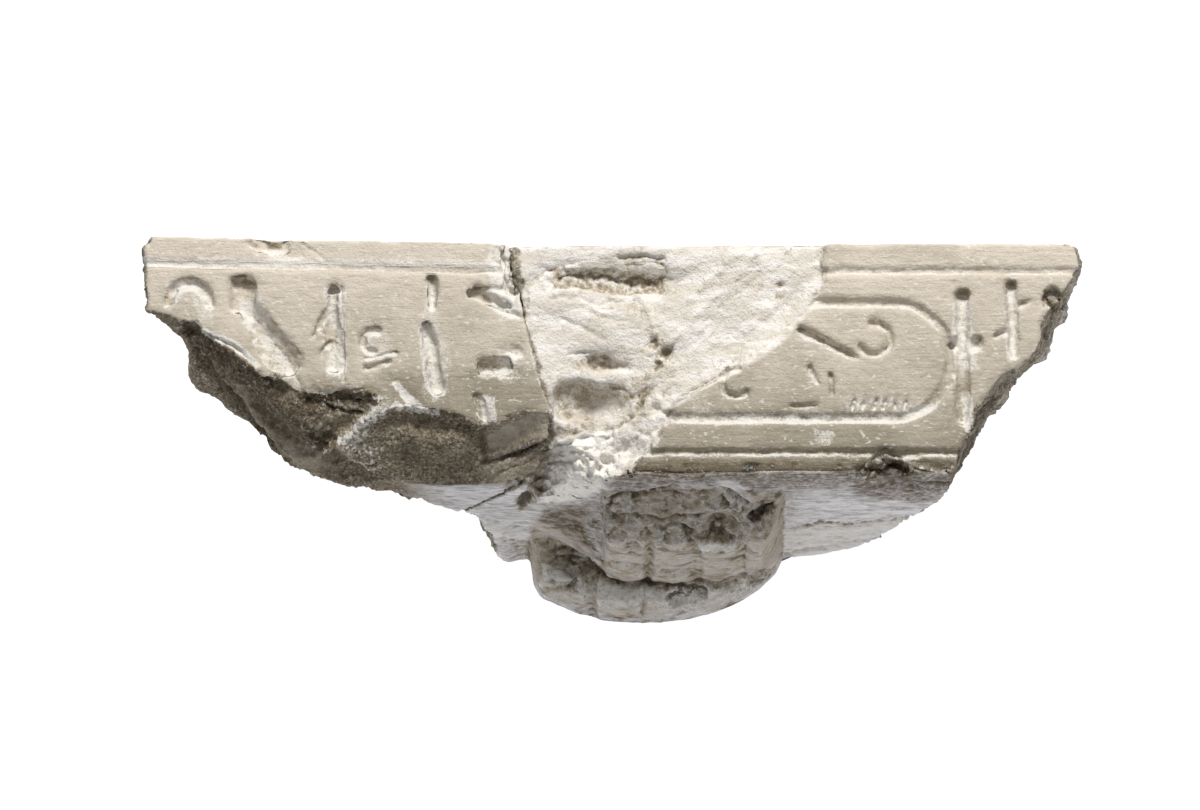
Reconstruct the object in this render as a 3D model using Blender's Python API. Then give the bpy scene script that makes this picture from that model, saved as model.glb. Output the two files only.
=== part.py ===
"""A broken piece of a stone offering table, lying on its broken back with the carved front edge upwards.

Two fragments set together along an old break: the left one turned a little out of line, the right one with
two rows of carved fingers under the slab. X runs along the front edge, Y from the underside to the top face,
and Z from the back break to the carved face. While the piece is being modelled, the carved face is at Z = 0
and the underside at Y = 0.
"""

import bisect
import math

import bmesh
import bpy
from mathutils import Matrix, Vector, noise

# The slab.
LENGTH = 0.1785  # of the front edge, from end to end
THICKNESS = 0.0449  # from the underside to the top face
DEPTH = 0.083  # from the carved face to the back break

# The old break between the two fragments.
JOIN_GAP = 0.0003
LEFT_TURN = math.radians(-1.2)  # the left fragment out of line with the right one
JOIN_LEAN = 0.45  # how far the break runs to the left for each unit that it runs back

# The two border grooves, with each one's middle measured from the nearer edge of the face.
TOP_BAND = 0.0054
LOWER_BAND = 0.0044
GROOVE_WIDTH = 0.0017
GROOVE_CUT = 0.0009

# The oval ring sunk into the face.
RING_RADIUS = 0.0112
RING_WIDTH = 0.0025
RING_CUT = 0.0008
RING_TOP_GAP = 0.0061  # from the top groove down to the ring's upper run
RING_MIDDLE = 79.6  # the middle of its round end, as a percentage of the length
RING_ENDS = (66, 54.6)  # where its upper and its lower run end in the pale break

# The strokes that stand for the inscription.
STROKE_CUT = 0.0011
FINE_CUT = 0.0008
BROAD_STROKE = 2  # wider strokes than this, in millimetres, take the deeper cut
STROKE_FLOOR = 0.45  # the floor of a stroke, as a share of its width at the face
STROKE_END = 0.7  # how wide a stroke is at its very ends, as a share of its width beside them

# The hands under the slab.
FINGER_WIDTH = 0.0085  # of the four upper fingers
FINGER_COUNT = 4
UPPER_DROP = 0.0092  # how far the upper fingers stand off the underside
UPPER_FRONT = 0.0115  # where their broken tips begin, behind the carved face
UPPER_SLOPE = 0.0095  # how far back their break runs
UPPER_SHOULDER = 0.0051  # the width in which the last upper finger rounds off to the right
UPPER_SIDE = 0.25  # the height left at its right side, as a share of the rounding
LOWER_DROP = 0.0134
LOWER_FRONT = 0.058
LOWER_ROUND = 0.005  # the rounding of the lower fingertips
LEFT_BOWL = 2.4  # how square the lower hand is in its left half, seen from the front; 2 is an ellipse
RIGHT_BOWL = 1.8
FINGER_GROOVE = 0.0011
LOWER_GROOVE = 0.0013
GROOVE_FADE = 0.8  # how much of the lower grooves is gone towards the back
WALL = 0.0003  # the run in which a finger's side falls

# The breaks.
ROUGHNESS = 0.0015  # how far a break face wanders
GRAIN = 0.011  # the size of its lumps
SCAR_CUT = 0.0016  # how deep the pale break in the middle lies under the face
SCAR_FALL = 0.024  # how far back it runs where it meets the underside
REST_WIDTH = 0.052  # the flat spot that the piece lies on, along X and along Y
REST_HEIGHT = 0.034
REST_MIDDLE = (52, 46)  # its middle, as percentages of the length and of the thickness
BACK_RISE = 0.0045  # how far the back break falls away from that spot at the rim
BACK_SPREAD = (20, 90)  # from where to where it is broken, as percentages of the length
SCAR_RIM = 0.3  # how deep the pale break is at its right edge, as a share of its depth beside it
SEED = 7
SCAR_SALT = 40  # keeps the lumps of one break from those of another
BACK_SALT = 80

# Free forms, as percentages of the length and of the thickness, from the top corner down to the underside.
LEFT_FACE = (
    (0.7, 100), (0, 95), (0.5, 68), (3.7, 65), (6.6, 60), (8.7, 54), (12, 44), (15, 41), (16.7, 34.5),
    (20, 32), (21.5, 34.5), (24.7, 36.6), (27.3, 30),
)
LEFT_FACE_FOOT = (
    (27.3, 30), (30.5, 28), (33.2, 29), (36.9, 20.7), (39, 26), (41.7, 30), (44.5, 28), (45.4, 15),
    (45.2, 0),
)
LEFT_FLANK = (
    (0.7, 100), (0, 97), (0.4, 72.6), (3.6, 66.5), (5, 58), (5.1, 50), (5.7, 44), (9.2, 34), (14, 15.7),
    (16.2, 7), (21.5, 0),
)
RIGHT_FACE = (
    (99, 100), (99.4, 88), (97.8, 77.5), (95.5, 67), (95.3, 58.5), (94.3, 48.7), (92, 44.5), (90, 34.5),
    (88.3, 28.4), (88.2, 21), (87, 13.5), (86.4, 3.4), (85.8, 0),
)
RIGHT_FLANK = (
    (100, 100), (99.6, 92), (98.2, 81), (96.4, 70), (96, 60), (94, 51), (92, 47), (90.5, 36), (88.8, 28.5),
    (88, 20), (86.6, 12), (86.2, 5), (86, 0),
)
RIGHT_OUTER = (
    (99.8, 100), (98.3, 86), (97, 75), (96.6, 67), (95, 60.3), (92.8, 55.5), (91.4, 44), (90.4, 36.3),
    (88.8, 29.6), (87.5, 22), (86, 12.3), (85.9, 6.5), (84.5, 0),
)

# The left and the right side at each key depth, as percentages: depth, side, foot on the underside.
LEFT_KEYS = (
    (0, LEFT_FACE, LEFT_FACE_FOOT),
    (14, LEFT_FLANK, ((21.5, 0), (43, 0))),
    (29, ((5, 100), (9, 62), (17, 26), (27.3, 0)), ((27.3, 0), (41, 0))),
    (46, ((12, 100), (17, 66), (25, 30), (34.8, 0)), ((34.8, 0), (40.6, 0))),
    (69, ((20, 100), (25, 60), (32, 25), (36.9, 0)), ((36.9, 0), (40.6, 0))),
    (92, ((26, 100), (29, 60), (35, 25), (37.8, 0)), ((37.8, 0), (40.6, 0))),
    (100, ((30, 94), (32, 60), (36, 25), (39, 3)), ((39, 3), (40.6, 0))),
)
RIGHT_KEYS = (
    (0, RIGHT_FACE),
    (17, RIGHT_FLANK),
    (34, RIGHT_OUTER),
    (42, ((98, 100), (97, 78), (93.4, 60), (90.4, 44), (88, 26), (85, 11), (82.9, 0))),
    (59, ((94, 100), (93, 75), (89, 50), (86, 30), (83, 12), (81, 0))),
    (81, ((88, 100), (87, 72), (83, 40), (80, 18), (77.6, 0))),
    (92, ((83, 100), (83, 72), (79, 40), (76, 18), (73.6, 0))),
    (100, ((78, 94), (79, 72), (75, 40), (72, 18), (69.8, 1))),
)
STATIONS = (
    0, 1.5, 4, 7, 10, 14, 16, 18, 21, 25, 30, 35, 41, 48, 55, 62, 67.5, 69.5, 71, 74, 78, 84, 90, 95, 100,
)
LEFT_POINTS = 26
FOOT_POINTS = 13
RIGHT_POINTS = 18

# The break between the fragments, seen from the front, and the right edge of the pale break.
JOIN_LINE = (
    (39, 130), (39.5, 100), (40.4, 75), (41.1, 62), (42.7, 37), (43.6, 28), (43.9, 15), (43.6, 6),
    (43, 0), (43, -60),
)
SCAR_EDGE = (
    (72.5, 130), (72.5, 98), (72.2, 84), (69.8, 69), (63.4, 47), (57, 32), (55.2, 29), (55.8, 21.5),
    (53.3, 8.6), (51, 0), (48.5, -40),
)

# The heights and the shares of its width at which the pale break is shaped.
SCAR_ROWS = (130, 112, *range(101, 24, -4), 20, 15, 10, 5, 0, -12, -40)
SCAR_SHARES = (-0.25, -0.08, 0.02, 0.12, 0.22, 0.32, 0.42, 0.52, 0.62, 0.72, 0.82, 0.91, 0.97, 1, 1.012)
# The hollow, the narrow cavity above it and the ledge under the top edge: middle and reach across the break,
# as shares of its width, middle and reach upwards, as percentages of the thickness, depth in millimetres and
# how square the form is across.
SCAR_FORMS = (
    (0.36, 0.32, 29, 11, 4.6, 2),
    (0.32, 0.16, 49, 5, 2.4, 2),
    (0.3, 0.24, 84, 6, 2.6, 4),
)
SCAR_SWELL = 0.0009  # how much deeper its middle lies than its sides
SCAR_LIP = 26  # the height below which it falls back, as a percentage of the thickness
BACK_COLUMNS = 22
BACK_ROWS = 14

# Where the hands are along the front edge, as percentages of the length.
UPPER_LEFT = 49.1
LOWER_LEFT = 41.1
LOWER_MIDDLE = 53.9
LOWER_RIGHT = 68.2
LOWER_GROOVES = (47.6, 53.2, 59.3)
WEB_LEFT = 38
WEB_DROP = 0.0072  # how low the web beside the upper fingers falls
WEB_START = 0.025
FIXED_FROM = 46  # right of this the columns of the underside are fixed
LEFT_SHARES = (0.08, 0.14, 0.25, 0.45, 0.7)  # and left of it they share what is left
FINGER_SHARES = (0, 0.14, 0.5, 0.86)  # where the columns of each upper finger are, in its width
RIGHT_SHARES = (0.3, 0.65)
CAP_STIR = 0.4  # how much of the roughness is left at the carved face and at the back break

# Straight strokes: middle, as percentages, length and width in millimetres, angle in degrees, width at the
# far end as a share of the near one.
LEFT_STROKES = (
    (10.6, 76, 7, 5.4, -84, 1.1),
    (20.4, 62, 17, 2.2, -88, 1.9),
    (25.2, 46.5, 6, 1.3, 18, 1),
    (30.8, 78, 7, 2.4, -86, 0.4),
    (31, 50, 14, 2.4, -78, 1.5),
    (37.2, 76, 9, 3.2, -24, 0.35),
    (37.6, 47, 6.5, 4.2, 8, 0.7),
    (36.3, 28.5, 6, 2, -70, 1.3),
)
LEFT_CROSSING = (
    (13.8, 56, 15, 5.2, -56, 1.5),
    (18.9, 63, 6, 1.6, -118, 0.5),
)
RIGHT_STROKES = (
    (72.8, 57, 13.5, 2.2, -28, 0.6),
    (71.3, 43, 5, 1.3, -64, 0.7),
    (73.2, 39, 5, 1.3, -86, 0.7),
    (70.2, 30, 6, 1.2, 3, 1),
    (92.4, 67, 15.5, 2.6, -88, 0.8),
)
RIGHT_CROSSING = (
    (93.6, 74, 3.4, 1.4, 24, 0.6),
    (91.2, 61, 3.4, 1.4, 24, 0.6),
    (87.1, 51, 26, 3, -90, 1.2),
)
# Curved strokes: middle, radius and width in millimetres, first angle and sweep in degrees.
LEFT_ARCS = ((5, 71, 4.1, 2.3, -10, 200), (24.6, 57, 2.1, 1.3, 40, 260))
RIGHT_ARCS = ((63.1, 40, 2.7, 1.5, 60, 270), (77.7, 59, 3.1, 1.6, 200, 270))
# The row of short ticks inside the ring.
TICK_COUNT = 6
TICK_FIRST = (75.6, 31)
TICK_STEP = 0.00195
TICK_FORM = (3.2, 1.05, 74, 0.8)  # length, width, angle and taper, as in a straight stroke
STROKE_SHARES = (-0.5, -0.38, 0.38, 0.5)  # where a straight stroke has its points, along its length
ARC_STEPS = 12

# Chips and pits: middle as percentages of length and thickness, depth and radii in millimetres, seed.
LEFT_CHIPS = (
    (13.6, 99, 0, 4.6, 2.6, 1.5, 1),
    (39.5, 92, 0, 3, 6, 2.4, 2),
    (0.2, 99, 1, 1.4, 1.2, 2.2, 3),
    (39.6, -1, 16, 1.8, 1.6, 2.2, 4),
)
RIGHT_CHIPS = (
    (61.5, -20, 13.5, 4.2, 3.6, 3.6, 5),
    (66, -7, 13.5, 2.8, 2.6, 4, 6),
    (58.2, -25, 58, 4, 3.4, 3.4, 7),
    (63, -22, 58, 2.4, 1.9, 2.4, 8),
    (45.2, -14, 58.5, 4.6, 2.2, 3, 9),
    (79.2, 2, 0, 3.6, 4.4, 2.6, 10),
    (84.3, -2, 9.5, 5, 1.9, 5.4, 11),
    (96.6, 76, 0, 2.2, 2.6, 1.8, 12),
    (98.2, 101, 0.5, 1.6, 1, 1.6, 13),
    (86.3, 57, 0, 1.1, 1.1, 1.3, 14),
    (88.6, 57, 0, 1.5, 1.4, 1, 15),
)
CHIP_ROUGHNESS = 0.3  # how far a chip's surface wanders, as a share of its radii
CHIP_LUMPS = 1.7

CLEAR = 0.01  # how far a cutter stands out of what it cuts
MM = 0.001


def across(percent):
    """The X of a percentage of the length, from the left end."""
    return (percent / 100 - 0.5) * LENGTH


def up(percent):
    """The Y of a percentage of the thickness, from the underside."""
    return percent / 100 * THICKNESS


def smooth(share):
    """A share eased in and out, and held between 0 and 1."""
    share = min(max(share, 0.0), 1.0)
    return share * share * (3 - 2 * share)


def mix(a, b, share):
    """The value between a and b at a share of the way."""
    return a + (b - a) * share


def resampled(outline, count):
    """Count points at even steps along an outline, with both of its ends."""
    points = [Vector(point) for point in outline]
    reach = [0.0]
    for a, b in zip(points, points[1:]):
        reach.append(reach[-1] + (b - a).length)
    result = []
    for step in range(count):
        at = reach[-1] * step / (count - 1)
        index = min(max(bisect.bisect_left(reach, at), 1), len(points) - 1)
        run = reach[index] - reach[index - 1]
        result.append(points[index - 1].lerp(points[index], (at - reach[index - 1]) / run))
    return result


def at_height(outline, percent):
    """The percentage along the length where an outline that runs downwards passes a height."""
    for (x_above, above), (x_below, below) in zip(outline, outline[1:]):
        if above >= percent >= below:
            return mix(x_above, x_below, (above - percent) / (above - below))
    return outline[-1][0] if percent < outline[-1][1] else outline[0][0]


def between_keys(keys, percent):
    """The points at a depth, from the two key outlines on either side of it."""
    for (near, near_points), (far, far_points) in zip(keys, keys[1:]):
        if percent <= far:
            share = (percent - near) / (far - near)
            return [a.lerp(b, share) for a, b in zip(near_points, far_points)]
    return keys[-1][1]


def lumps(where):
    """A smooth seeded vector, each part of it within about 1 either way."""
    return Vector([noise.noise(where + Vector((SEED, 37 * axis, 0))) for axis in range(3)])


def wander(x, y, z, salt):
    """A seeded offset for a point on a break face, up to about the roughness either way."""
    where = Vector((x, y, z)) / GRAIN + Vector((0, 0, salt))
    return (lumps(where) + 0.45 * lumps(where * 3)) * ROUGHNESS


def groove(x, middle, width, cut):
    """How much a V groove takes off at x."""
    return cut * max(0.0, 1 - abs(x - middle) / (width / 2))


def upper_hand(x, depth):
    """How far the upper row of fingers stands off the underside at a point."""
    left = across(UPPER_LEFT)
    width = FINGER_WIDTH * FINGER_COUNT
    inside = min(x - left, left + width - x)
    if inside < -WALL / 2:
        return 0.0
    place = (x - left) / FINGER_WIDTH
    from_middle = 2 * abs(place - math.floor(place) - 0.5)
    scallop = FINGER_GROOVE * from_middle**4
    shoulder = smooth((left + width - x) / UPPER_SHOULDER + UPPER_SIDE)
    front = smooth((depth - UPPER_FRONT) / UPPER_SLOPE)
    end = 1 - smooth((depth - LOWER_FRONT) / LOWER_ROUND)
    return max(0.0, (UPPER_DROP * shoulder - scallop) * front * end)


def lower_hand(x, depth):
    """How far the lower row of fingers stands off the underside at a point."""
    middle = across(LOWER_MIDDLE)
    end = across(LOWER_LEFT if x < middle else LOWER_RIGHT)
    power = LEFT_BOWL if x < middle else RIGHT_BOWL
    share = (x - middle) / (end - middle)
    if share >= 1:
        return 0.0
    bowl = LOWER_DROP * (1 - share**power) ** (1 / power)
    tip = min(max((depth - LOWER_FRONT) / LOWER_ROUND, 0.0), 1.0)
    fade = 1 - GROOVE_FADE * smooth((depth - LOWER_FRONT - LOWER_ROUND) / LOWER_ROUND)
    cuts = fade * sum(groove(x, across(place), LOWER_GROOVE * 2, LOWER_GROOVE) for place in LOWER_GROOVES)
    return max(0.0, (bowl - cuts) * math.sqrt(tip * (2 - tip)))


def web(x, depth):
    """How far the smooth web beside the upper fingers stands off the underside at a point."""
    share = (x - across(WEB_LEFT)) / (across(UPPER_LEFT) - across(WEB_LEFT))
    if not 0 < share < 1 + WALL:
        return 0.0
    return WEB_DROP * share * share * smooth((depth - WEB_START) / (LOWER_FRONT - WEB_START))


def drop(x, depth):
    """How far the stone reaches below the underside at a point."""
    return max(upper_hand(x, depth), lower_hand(x, depth), web(x, depth))


def fixed_columns():
    """The X of each column of the underside that stays put at every depth: the fingers' sides and grooves."""
    left = across(UPPER_LEFT)
    columns = {across(FIXED_FROM), left - WALL, left + FINGER_WIDTH * FINGER_COUNT + WALL}
    for finger in range(FINGER_COUNT):
        for share in FINGER_SHARES:
            columns.add(left + FINGER_WIDTH * (finger + share))
    columns.add(left + FINGER_WIDTH * FINGER_COUNT)
    for place in LOWER_GROOVES:
        for side in (-1, 0, 1):
            columns.add(across(place) + side * LOWER_GROOVE)
    return sorted(columns)


def section(percent, left_keys, foot_keys, right_keys, columns):
    """The closed outline of the slab and the hands at a depth, anticlockwise seen from the front."""
    depth = percent / 100 * DEPTH
    left = [Vector((across(p.x), up(p.y))) for p in between_keys(left_keys, percent)]
    foot = [Vector((across(p.x), up(p.y))) for p in between_keys(foot_keys, percent)]
    right = [Vector((across(p.x), up(p.y))) for p in between_keys(right_keys, percent)]
    before = [mix(foot[-1].x, columns[0], share) for share in LEFT_SHARES]
    after = [mix(columns[-1], right[-1].x, share) for share in RIGHT_SHARES]
    under = [Vector((x, -drop(x, depth))) for x in before + columns + after]
    points = []
    for point in left + foot[1:] + right[::-1]:
        stir = Vector((0, 0, 0)) if is_dressed(point) else stirred(point, depth)
        height = min(max(point.y + stir.y, 0), THICKNESS)
        points.append(Vector((point.x + stir.x, height, stir.z - depth)))
    for point in under:
        stir = stirred(point, depth) if on_broken_tips(point, depth) else Vector((0, 0, 0))
        points.append(Vector((point.x + stir.x, point.y + stir.y, stir.z - depth)))
    sides = len(left) + len(foot) - 1
    return points[:sides] + points[-len(under):] + points[sides:-len(under)]


def stirred(point, depth):
    """How far the roughness of a break moves a point of an outline, less near the face and the back."""
    to_cap = min(depth, DEPTH - depth)
    stir = wander(point.x, point.y, depth, 0)
    sideways = mix(CAP_STIR, 1, smooth(2 * to_cap / GRAIN))
    return Vector((stir.x * sideways, stir.y * sideways, stir.z * min(1, to_cap / (3 * ROUGHNESS))))


def is_dressed(point):
    """Whether a point of an outline lies on the top face or on the underside."""
    return min(abs(point.y), abs(point.y - THICKNESS)) < 1e-6


def on_broken_tips(point, depth):
    """Whether a point of the underside lies on the broken ends of the upper fingers."""
    return point.y < 0 and UPPER_FRONT < depth < UPPER_FRONT + UPPER_SLOPE


def new_object(name, mesh_data, parent, matter=None):
    """An object in the scene with this mesh, under a parent; without a material it is a cutter."""
    mesh = bpy.data.meshes.new(name)
    mesh_data.to_mesh(mesh)
    mesh_data.free()
    thing = bpy.data.objects.new(name, mesh)
    bpy.context.scene.collection.objects.link(thing)
    thing.parent = parent
    if matter is None:
        thing.hide_render = True
        thing.display_type = "WIRE"
    else:
        mesh.materials.append(matter)
    return thing


def new_empty(name, parent=None, matrix=None):
    """An empty that carries other objects."""
    thing = bpy.data.objects.new(name, None)
    bpy.context.scene.collection.objects.link(thing)
    thing.parent = parent
    if matrix is not None:
        thing.matrix_local = matrix
    return thing


def stone(name, colour, roughness):
    """A plain material for one fragment."""
    matter = bpy.data.materials.new(name)
    matter.use_nodes = True
    shader = matter.node_tree.nodes["Principled BSDF"]
    shader.inputs["Base Color"].default_value = (*colour, 1)
    shader.inputs["Roughness"].default_value = roughness
    shader.inputs["Metallic"].default_value = 0
    return matter


def bridged(loops):
    """A closed mesh through loops of points with equal counts, capped at both ends."""
    mesh = bmesh.new()
    rings = [[mesh.verts.new(point) for point in loop] for loop in loops]
    for near, far in zip(rings, rings[1:]):
        for index, corner in enumerate(near):
            after = (index + 1) % len(near)
            mesh.faces.new((corner, near[after], far[after], far[index]))
    mesh.faces.new(rings[0][::-1])
    mesh.faces.new(rings[-1])
    bmesh.ops.recalc_face_normals(mesh, faces=mesh.faces)
    return mesh


def body():
    """The slab with its hands, before it is carved or broken in two."""
    left_keys = [(depth, resampled(side, LEFT_POINTS)) for depth, side, _ in LEFT_KEYS]
    foot_keys = [(depth, resampled(foot, FOOT_POINTS)) for depth, _, foot in LEFT_KEYS]
    right_keys = [(depth, resampled(side, RIGHT_POINTS)) for depth, side in RIGHT_KEYS]
    columns = fixed_columns()
    return bridged([section(p, left_keys, foot_keys, right_keys, columns) for p in STATIONS])


def beside_join(side):
    """All that lies beside the break between the fragments: to its left for -1, to its right for 1."""
    edge = [Vector((across(x) - side * JOIN_GAP / 2, up(y))) for x, y in JOIN_LINE]
    far = side * (LENGTH / 2 + JOIN_LEAN * DEPTH + CLEAR)
    outline = edge + [Vector((far, edge[-1].y)), Vector((far, edge[0].y))]
    loops = []
    for level in (CLEAR, -DEPTH - CLEAR):
        loops.append([Vector((point.x + JOIN_LEAN * level, point.y, level)) for point in outline])
    return bridged(loops)


def scar_depth(share, height):
    """How deep the pale break lies under the face: across it from the join at 0 to its edge at 1."""
    deep = SCAR_CUT
    for middle, reach, level, rise, cut, power in SCAR_FORMS:
        far = abs((share - middle) / reach) ** power + ((height - level) / rise) ** 2
        deep += cut * MM * math.exp(-far)
    deep += SCAR_SWELL * math.sin(math.pi * share) * smooth((100 - height) / 60)
    return deep + SCAR_FALL * (1 - share) * smooth((SCAR_LIP - height) / SCAR_LIP)


def scar_cutter():
    """What the pale break takes off the face of the right fragment."""
    mesh = bmesh.new()
    grid = []
    for height in SCAR_ROWS:
        start = across(at_height(JOIN_LINE, height))
        end = across(at_height(SCAR_EDGE, height))
        floor = []
        lid = []
        for share in SCAR_SHARES:
            x = mix(start, end, share)
            y = up(height)
            deep = scar_depth(min(max(share, 0), 1), min(max(height, 0), 100))
            deep += wander(x, y, 0, SCAR_SALT).z * smooth((1 - share) * 6)
            if share > 1:
                deep = -ROUGHNESS
            elif share == 1:
                deep *= SCAR_RIM
            floor.append(mesh.verts.new((x, y, -deep)))
            lid.append(mesh.verts.new((x, y, CLEAR)))
        grid.append((floor, lid))
    close_grid(mesh, grid)
    return mesh


def back_cutter():
    """What the back break takes off around the flat spot that the piece lies on."""
    middle_x = across(REST_MIDDLE[0])
    middle_y = up(REST_MIDDLE[1])
    first, last = (across(percent) for percent in BACK_SPREAD)
    columns = [mix(first, last, step / BACK_COLUMNS) for step in range(BACK_COLUMNS + 1)]
    low = -LOWER_DROP - CLEAR
    rows = [mix(low, THICKNESS + CLEAR, step / BACK_ROWS) for step in range(BACK_ROWS + 1)]
    mesh = bmesh.new()
    grid = []
    for y in rows:
        face = []
        lid = []
        for x in columns:
            # How far out the point is: 1 on the rim of the flat spot.
            out = math.hypot((x - middle_x) / REST_WIDTH, (y - middle_y) / REST_HEIGHT) * 2
            rough = wander(x, y, DEPTH, BACK_SALT).z * smooth(3 * (out - 1))
            level = BACK_RISE * smooth(out - 1) + rough if out > 1 else -ROUGHNESS
            face.append(mesh.verts.new((x, y, -DEPTH + level)))
            lid.append(mesh.verts.new((x, y, -DEPTH - CLEAR)))
        grid.append((face, lid))
    close_grid(mesh, grid)
    return mesh


def close_grid(mesh, grid):
    """Faces over rows of shaped points and rows of lid points, and around their rim."""
    count = len(grid[0][0])
    for (face, lid), (next_face, next_lid) in zip(grid, grid[1:]):
        for i in range(count - 1):
            mesh.faces.new((face[i], face[i + 1], next_face[i + 1], next_face[i]))
            mesh.faces.new((lid[i], next_lid[i], next_lid[i + 1], lid[i + 1]))
        mesh.faces.new((face[0], next_face[0], next_lid[0], lid[0]))
        mesh.faces.new((face[-1], lid[-1], next_lid[-1], next_face[-1]))
    for face, lid in (grid[0], grid[-1]):
        for i in range(count - 1):
            mesh.faces.new((face[i], face[i + 1], lid[i + 1], lid[i]))
    bmesh.ops.recalc_face_normals(mesh, faces=mesh.faces)


def channel(mesh, path, widths, cut):
    """Adds a cutter with sloping sides along a path on the face, with a width at each of its points."""
    rings = []
    lift = cut
    for index, point in enumerate(path):
        before = path[max(index - 1, 0)]
        after = path[min(index + 1, len(path) - 1)]
        along = (after - before).normalized()
        side = Vector((-along.y, along.x))
        half = widths[index] / 2
        base = half * STROKE_FLOOR
        top = mix(base, half, (lift + cut) / cut)
        ring = []
        for reach, level in ((-top, lift), (top, lift), (base, -cut), (-base, -cut)):
            ring.append(mesh.verts.new((*(point + side * reach), level)))
        rings.append(ring)
    faces = []
    for near, far in zip(rings, rings[1:]):
        for i in range(4):
            after = (i + 1) % 4
            faces.append(mesh.faces.new((near[i], near[after], far[after], far[i])))
    faces.append(mesh.faces.new(rings[0][::-1]))
    faces.append(mesh.faces.new(rings[-1]))
    bmesh.ops.recalc_face_normals(mesh, faces=faces)


def straight_stroke(mesh, stroke):
    """Adds one straight stroke, its ends drawn in a little."""
    x, y, length, width, angle, taper = stroke
    middle = Vector((across(x), up(y)))
    along = Vector((math.cos(math.radians(angle)), math.sin(math.radians(angle)))) * length * MM
    path = [middle + along * share for share in STROKE_SHARES]
    near = width * MM
    far = near * taper
    cut = STROKE_CUT if width > BROAD_STROKE else FINE_CUT
    channel(mesh, path, (near * STROKE_END, near, far, far * STROKE_END), cut)


def curved_stroke(mesh, arc):
    """Adds one stroke along an arc."""
    x, y, radius, width, first, sweep = arc
    middle = Vector((across(x), up(y)))
    path = []
    for step in range(ARC_STEPS + 1):
        angle = math.radians(first + sweep * step / ARC_STEPS)
        path.append(middle + Vector((math.cos(angle), math.sin(angle))) * radius * MM)
    channel(mesh, path, [width * MM] * len(path), FINE_CUT)


def stroke_cutter(strokes, arcs):
    """All strokes of one fragment."""
    mesh = bmesh.new()
    for stroke in strokes:
        straight_stroke(mesh, stroke)
    for arc in arcs:
        curved_stroke(mesh, arc)
    return mesh


def tick_strokes():
    """The row of short slanted ticks inside the ring."""
    x, y = TICK_FIRST
    step = TICK_STEP / LENGTH * 100
    return [(x + index * step, y, *TICK_FORM) for index in range(TICK_COUNT)]


def ring_path():
    """The middle line of the oval ring: upper run, round right end and lower run."""
    top = THICKNESS - TOP_BAND - RING_TOP_GAP
    middle = Vector((across(RING_MIDDLE), top - RING_RADIUS))
    path = [Vector((across(RING_ENDS[0]), top))]
    for step in range(2 * ARC_STEPS + 1):
        angle = math.pi / 2 - math.pi * step / (2 * ARC_STEPS)
        path.append(middle + Vector((math.cos(angle), math.sin(angle))) * RING_RADIUS)
    path.append(Vector((across(RING_ENDS[1]), top - 2 * RING_RADIUS)))
    return path


def border_cutter(heights):
    """The border grooves at these heights, along the whole face."""
    mesh = bmesh.new()
    for height in heights:
        path = [Vector((across(0) - CLEAR, height)), Vector((across(100) + CLEAR, height))]
        channel(mesh, path, (GROOVE_WIDTH, GROOVE_WIDTH), GROOVE_CUT)
    return mesh


def ring_cutter():
    """The ring that frames a part of the inscription."""
    mesh = bmesh.new()
    path = ring_path()
    channel(mesh, path, [RING_WIDTH] * len(path), RING_CUT)
    return mesh


def chip_cutter(chips):
    """Rough rounded lumps, one for each chip or pit."""
    mesh = bmesh.new()
    for x, y, depth, wide, high, deep, salt in chips:
        middle = Vector((across(x), up(y), -depth * MM))
        lump = bmesh.ops.create_icosphere(mesh, subdivisions=2, radius=1)["verts"]
        for corner in lump:
            rough = 1 + CHIP_ROUGHNESS * noise.noise(corner.co * CHIP_LUMPS + Vector((SEED, salt, 0)))
            reach = Vector((corner.co.x * wide, corner.co.y * high, corner.co.z * deep)) * MM
            corner.co = middle + reach * rough
    return mesh


def cut_away(target, cutters):
    """Takes all cutters off the target in one live Boolean. A cutter may cross another, but not itself."""
    group = bpy.data.collections.new(target.name + "_cutters")
    bpy.context.scene.collection.children.link(group)
    for cutter in cutters:
        bpy.context.scene.collection.objects.unlink(cutter)
        group.objects.link(cutter)
    modifier = target.modifiers.new("carving", "BOOLEAN")
    modifier.operation = "DIFFERENCE"
    modifier.solver = "EXACT"
    modifier.operand_type = "COLLECTION"
    modifier.collection = group


def left_fragment(root):
    """The left fragment, turned about the top of the break."""
    pivot = Matrix.Translation((across(JOIN_LINE[1][0]), THICKNESS, 0))
    turn = pivot @ Matrix.Rotation(LEFT_TURN, 4, "Z") @ pivot.inverted()
    place = new_empty("left_place", root, turn)
    fragment = new_object("left_fragment", body(), place, stone("left_stone", (0.59, 0.53, 0.43), 0.75))
    cutters = [
        new_object("right_of_join", beside_join(1), root),
        new_object("left_border", border_cutter((THICKNESS - TOP_BAND,)), place),
        new_object("left_strokes", stroke_cutter(LEFT_STROKES, LEFT_ARCS), place),
        new_object("left_crossing", stroke_cutter(LEFT_CROSSING, ()), place),
        new_object("left_chips", chip_cutter(LEFT_CHIPS), place),
    ]
    cut_away(fragment, cutters)


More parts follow.
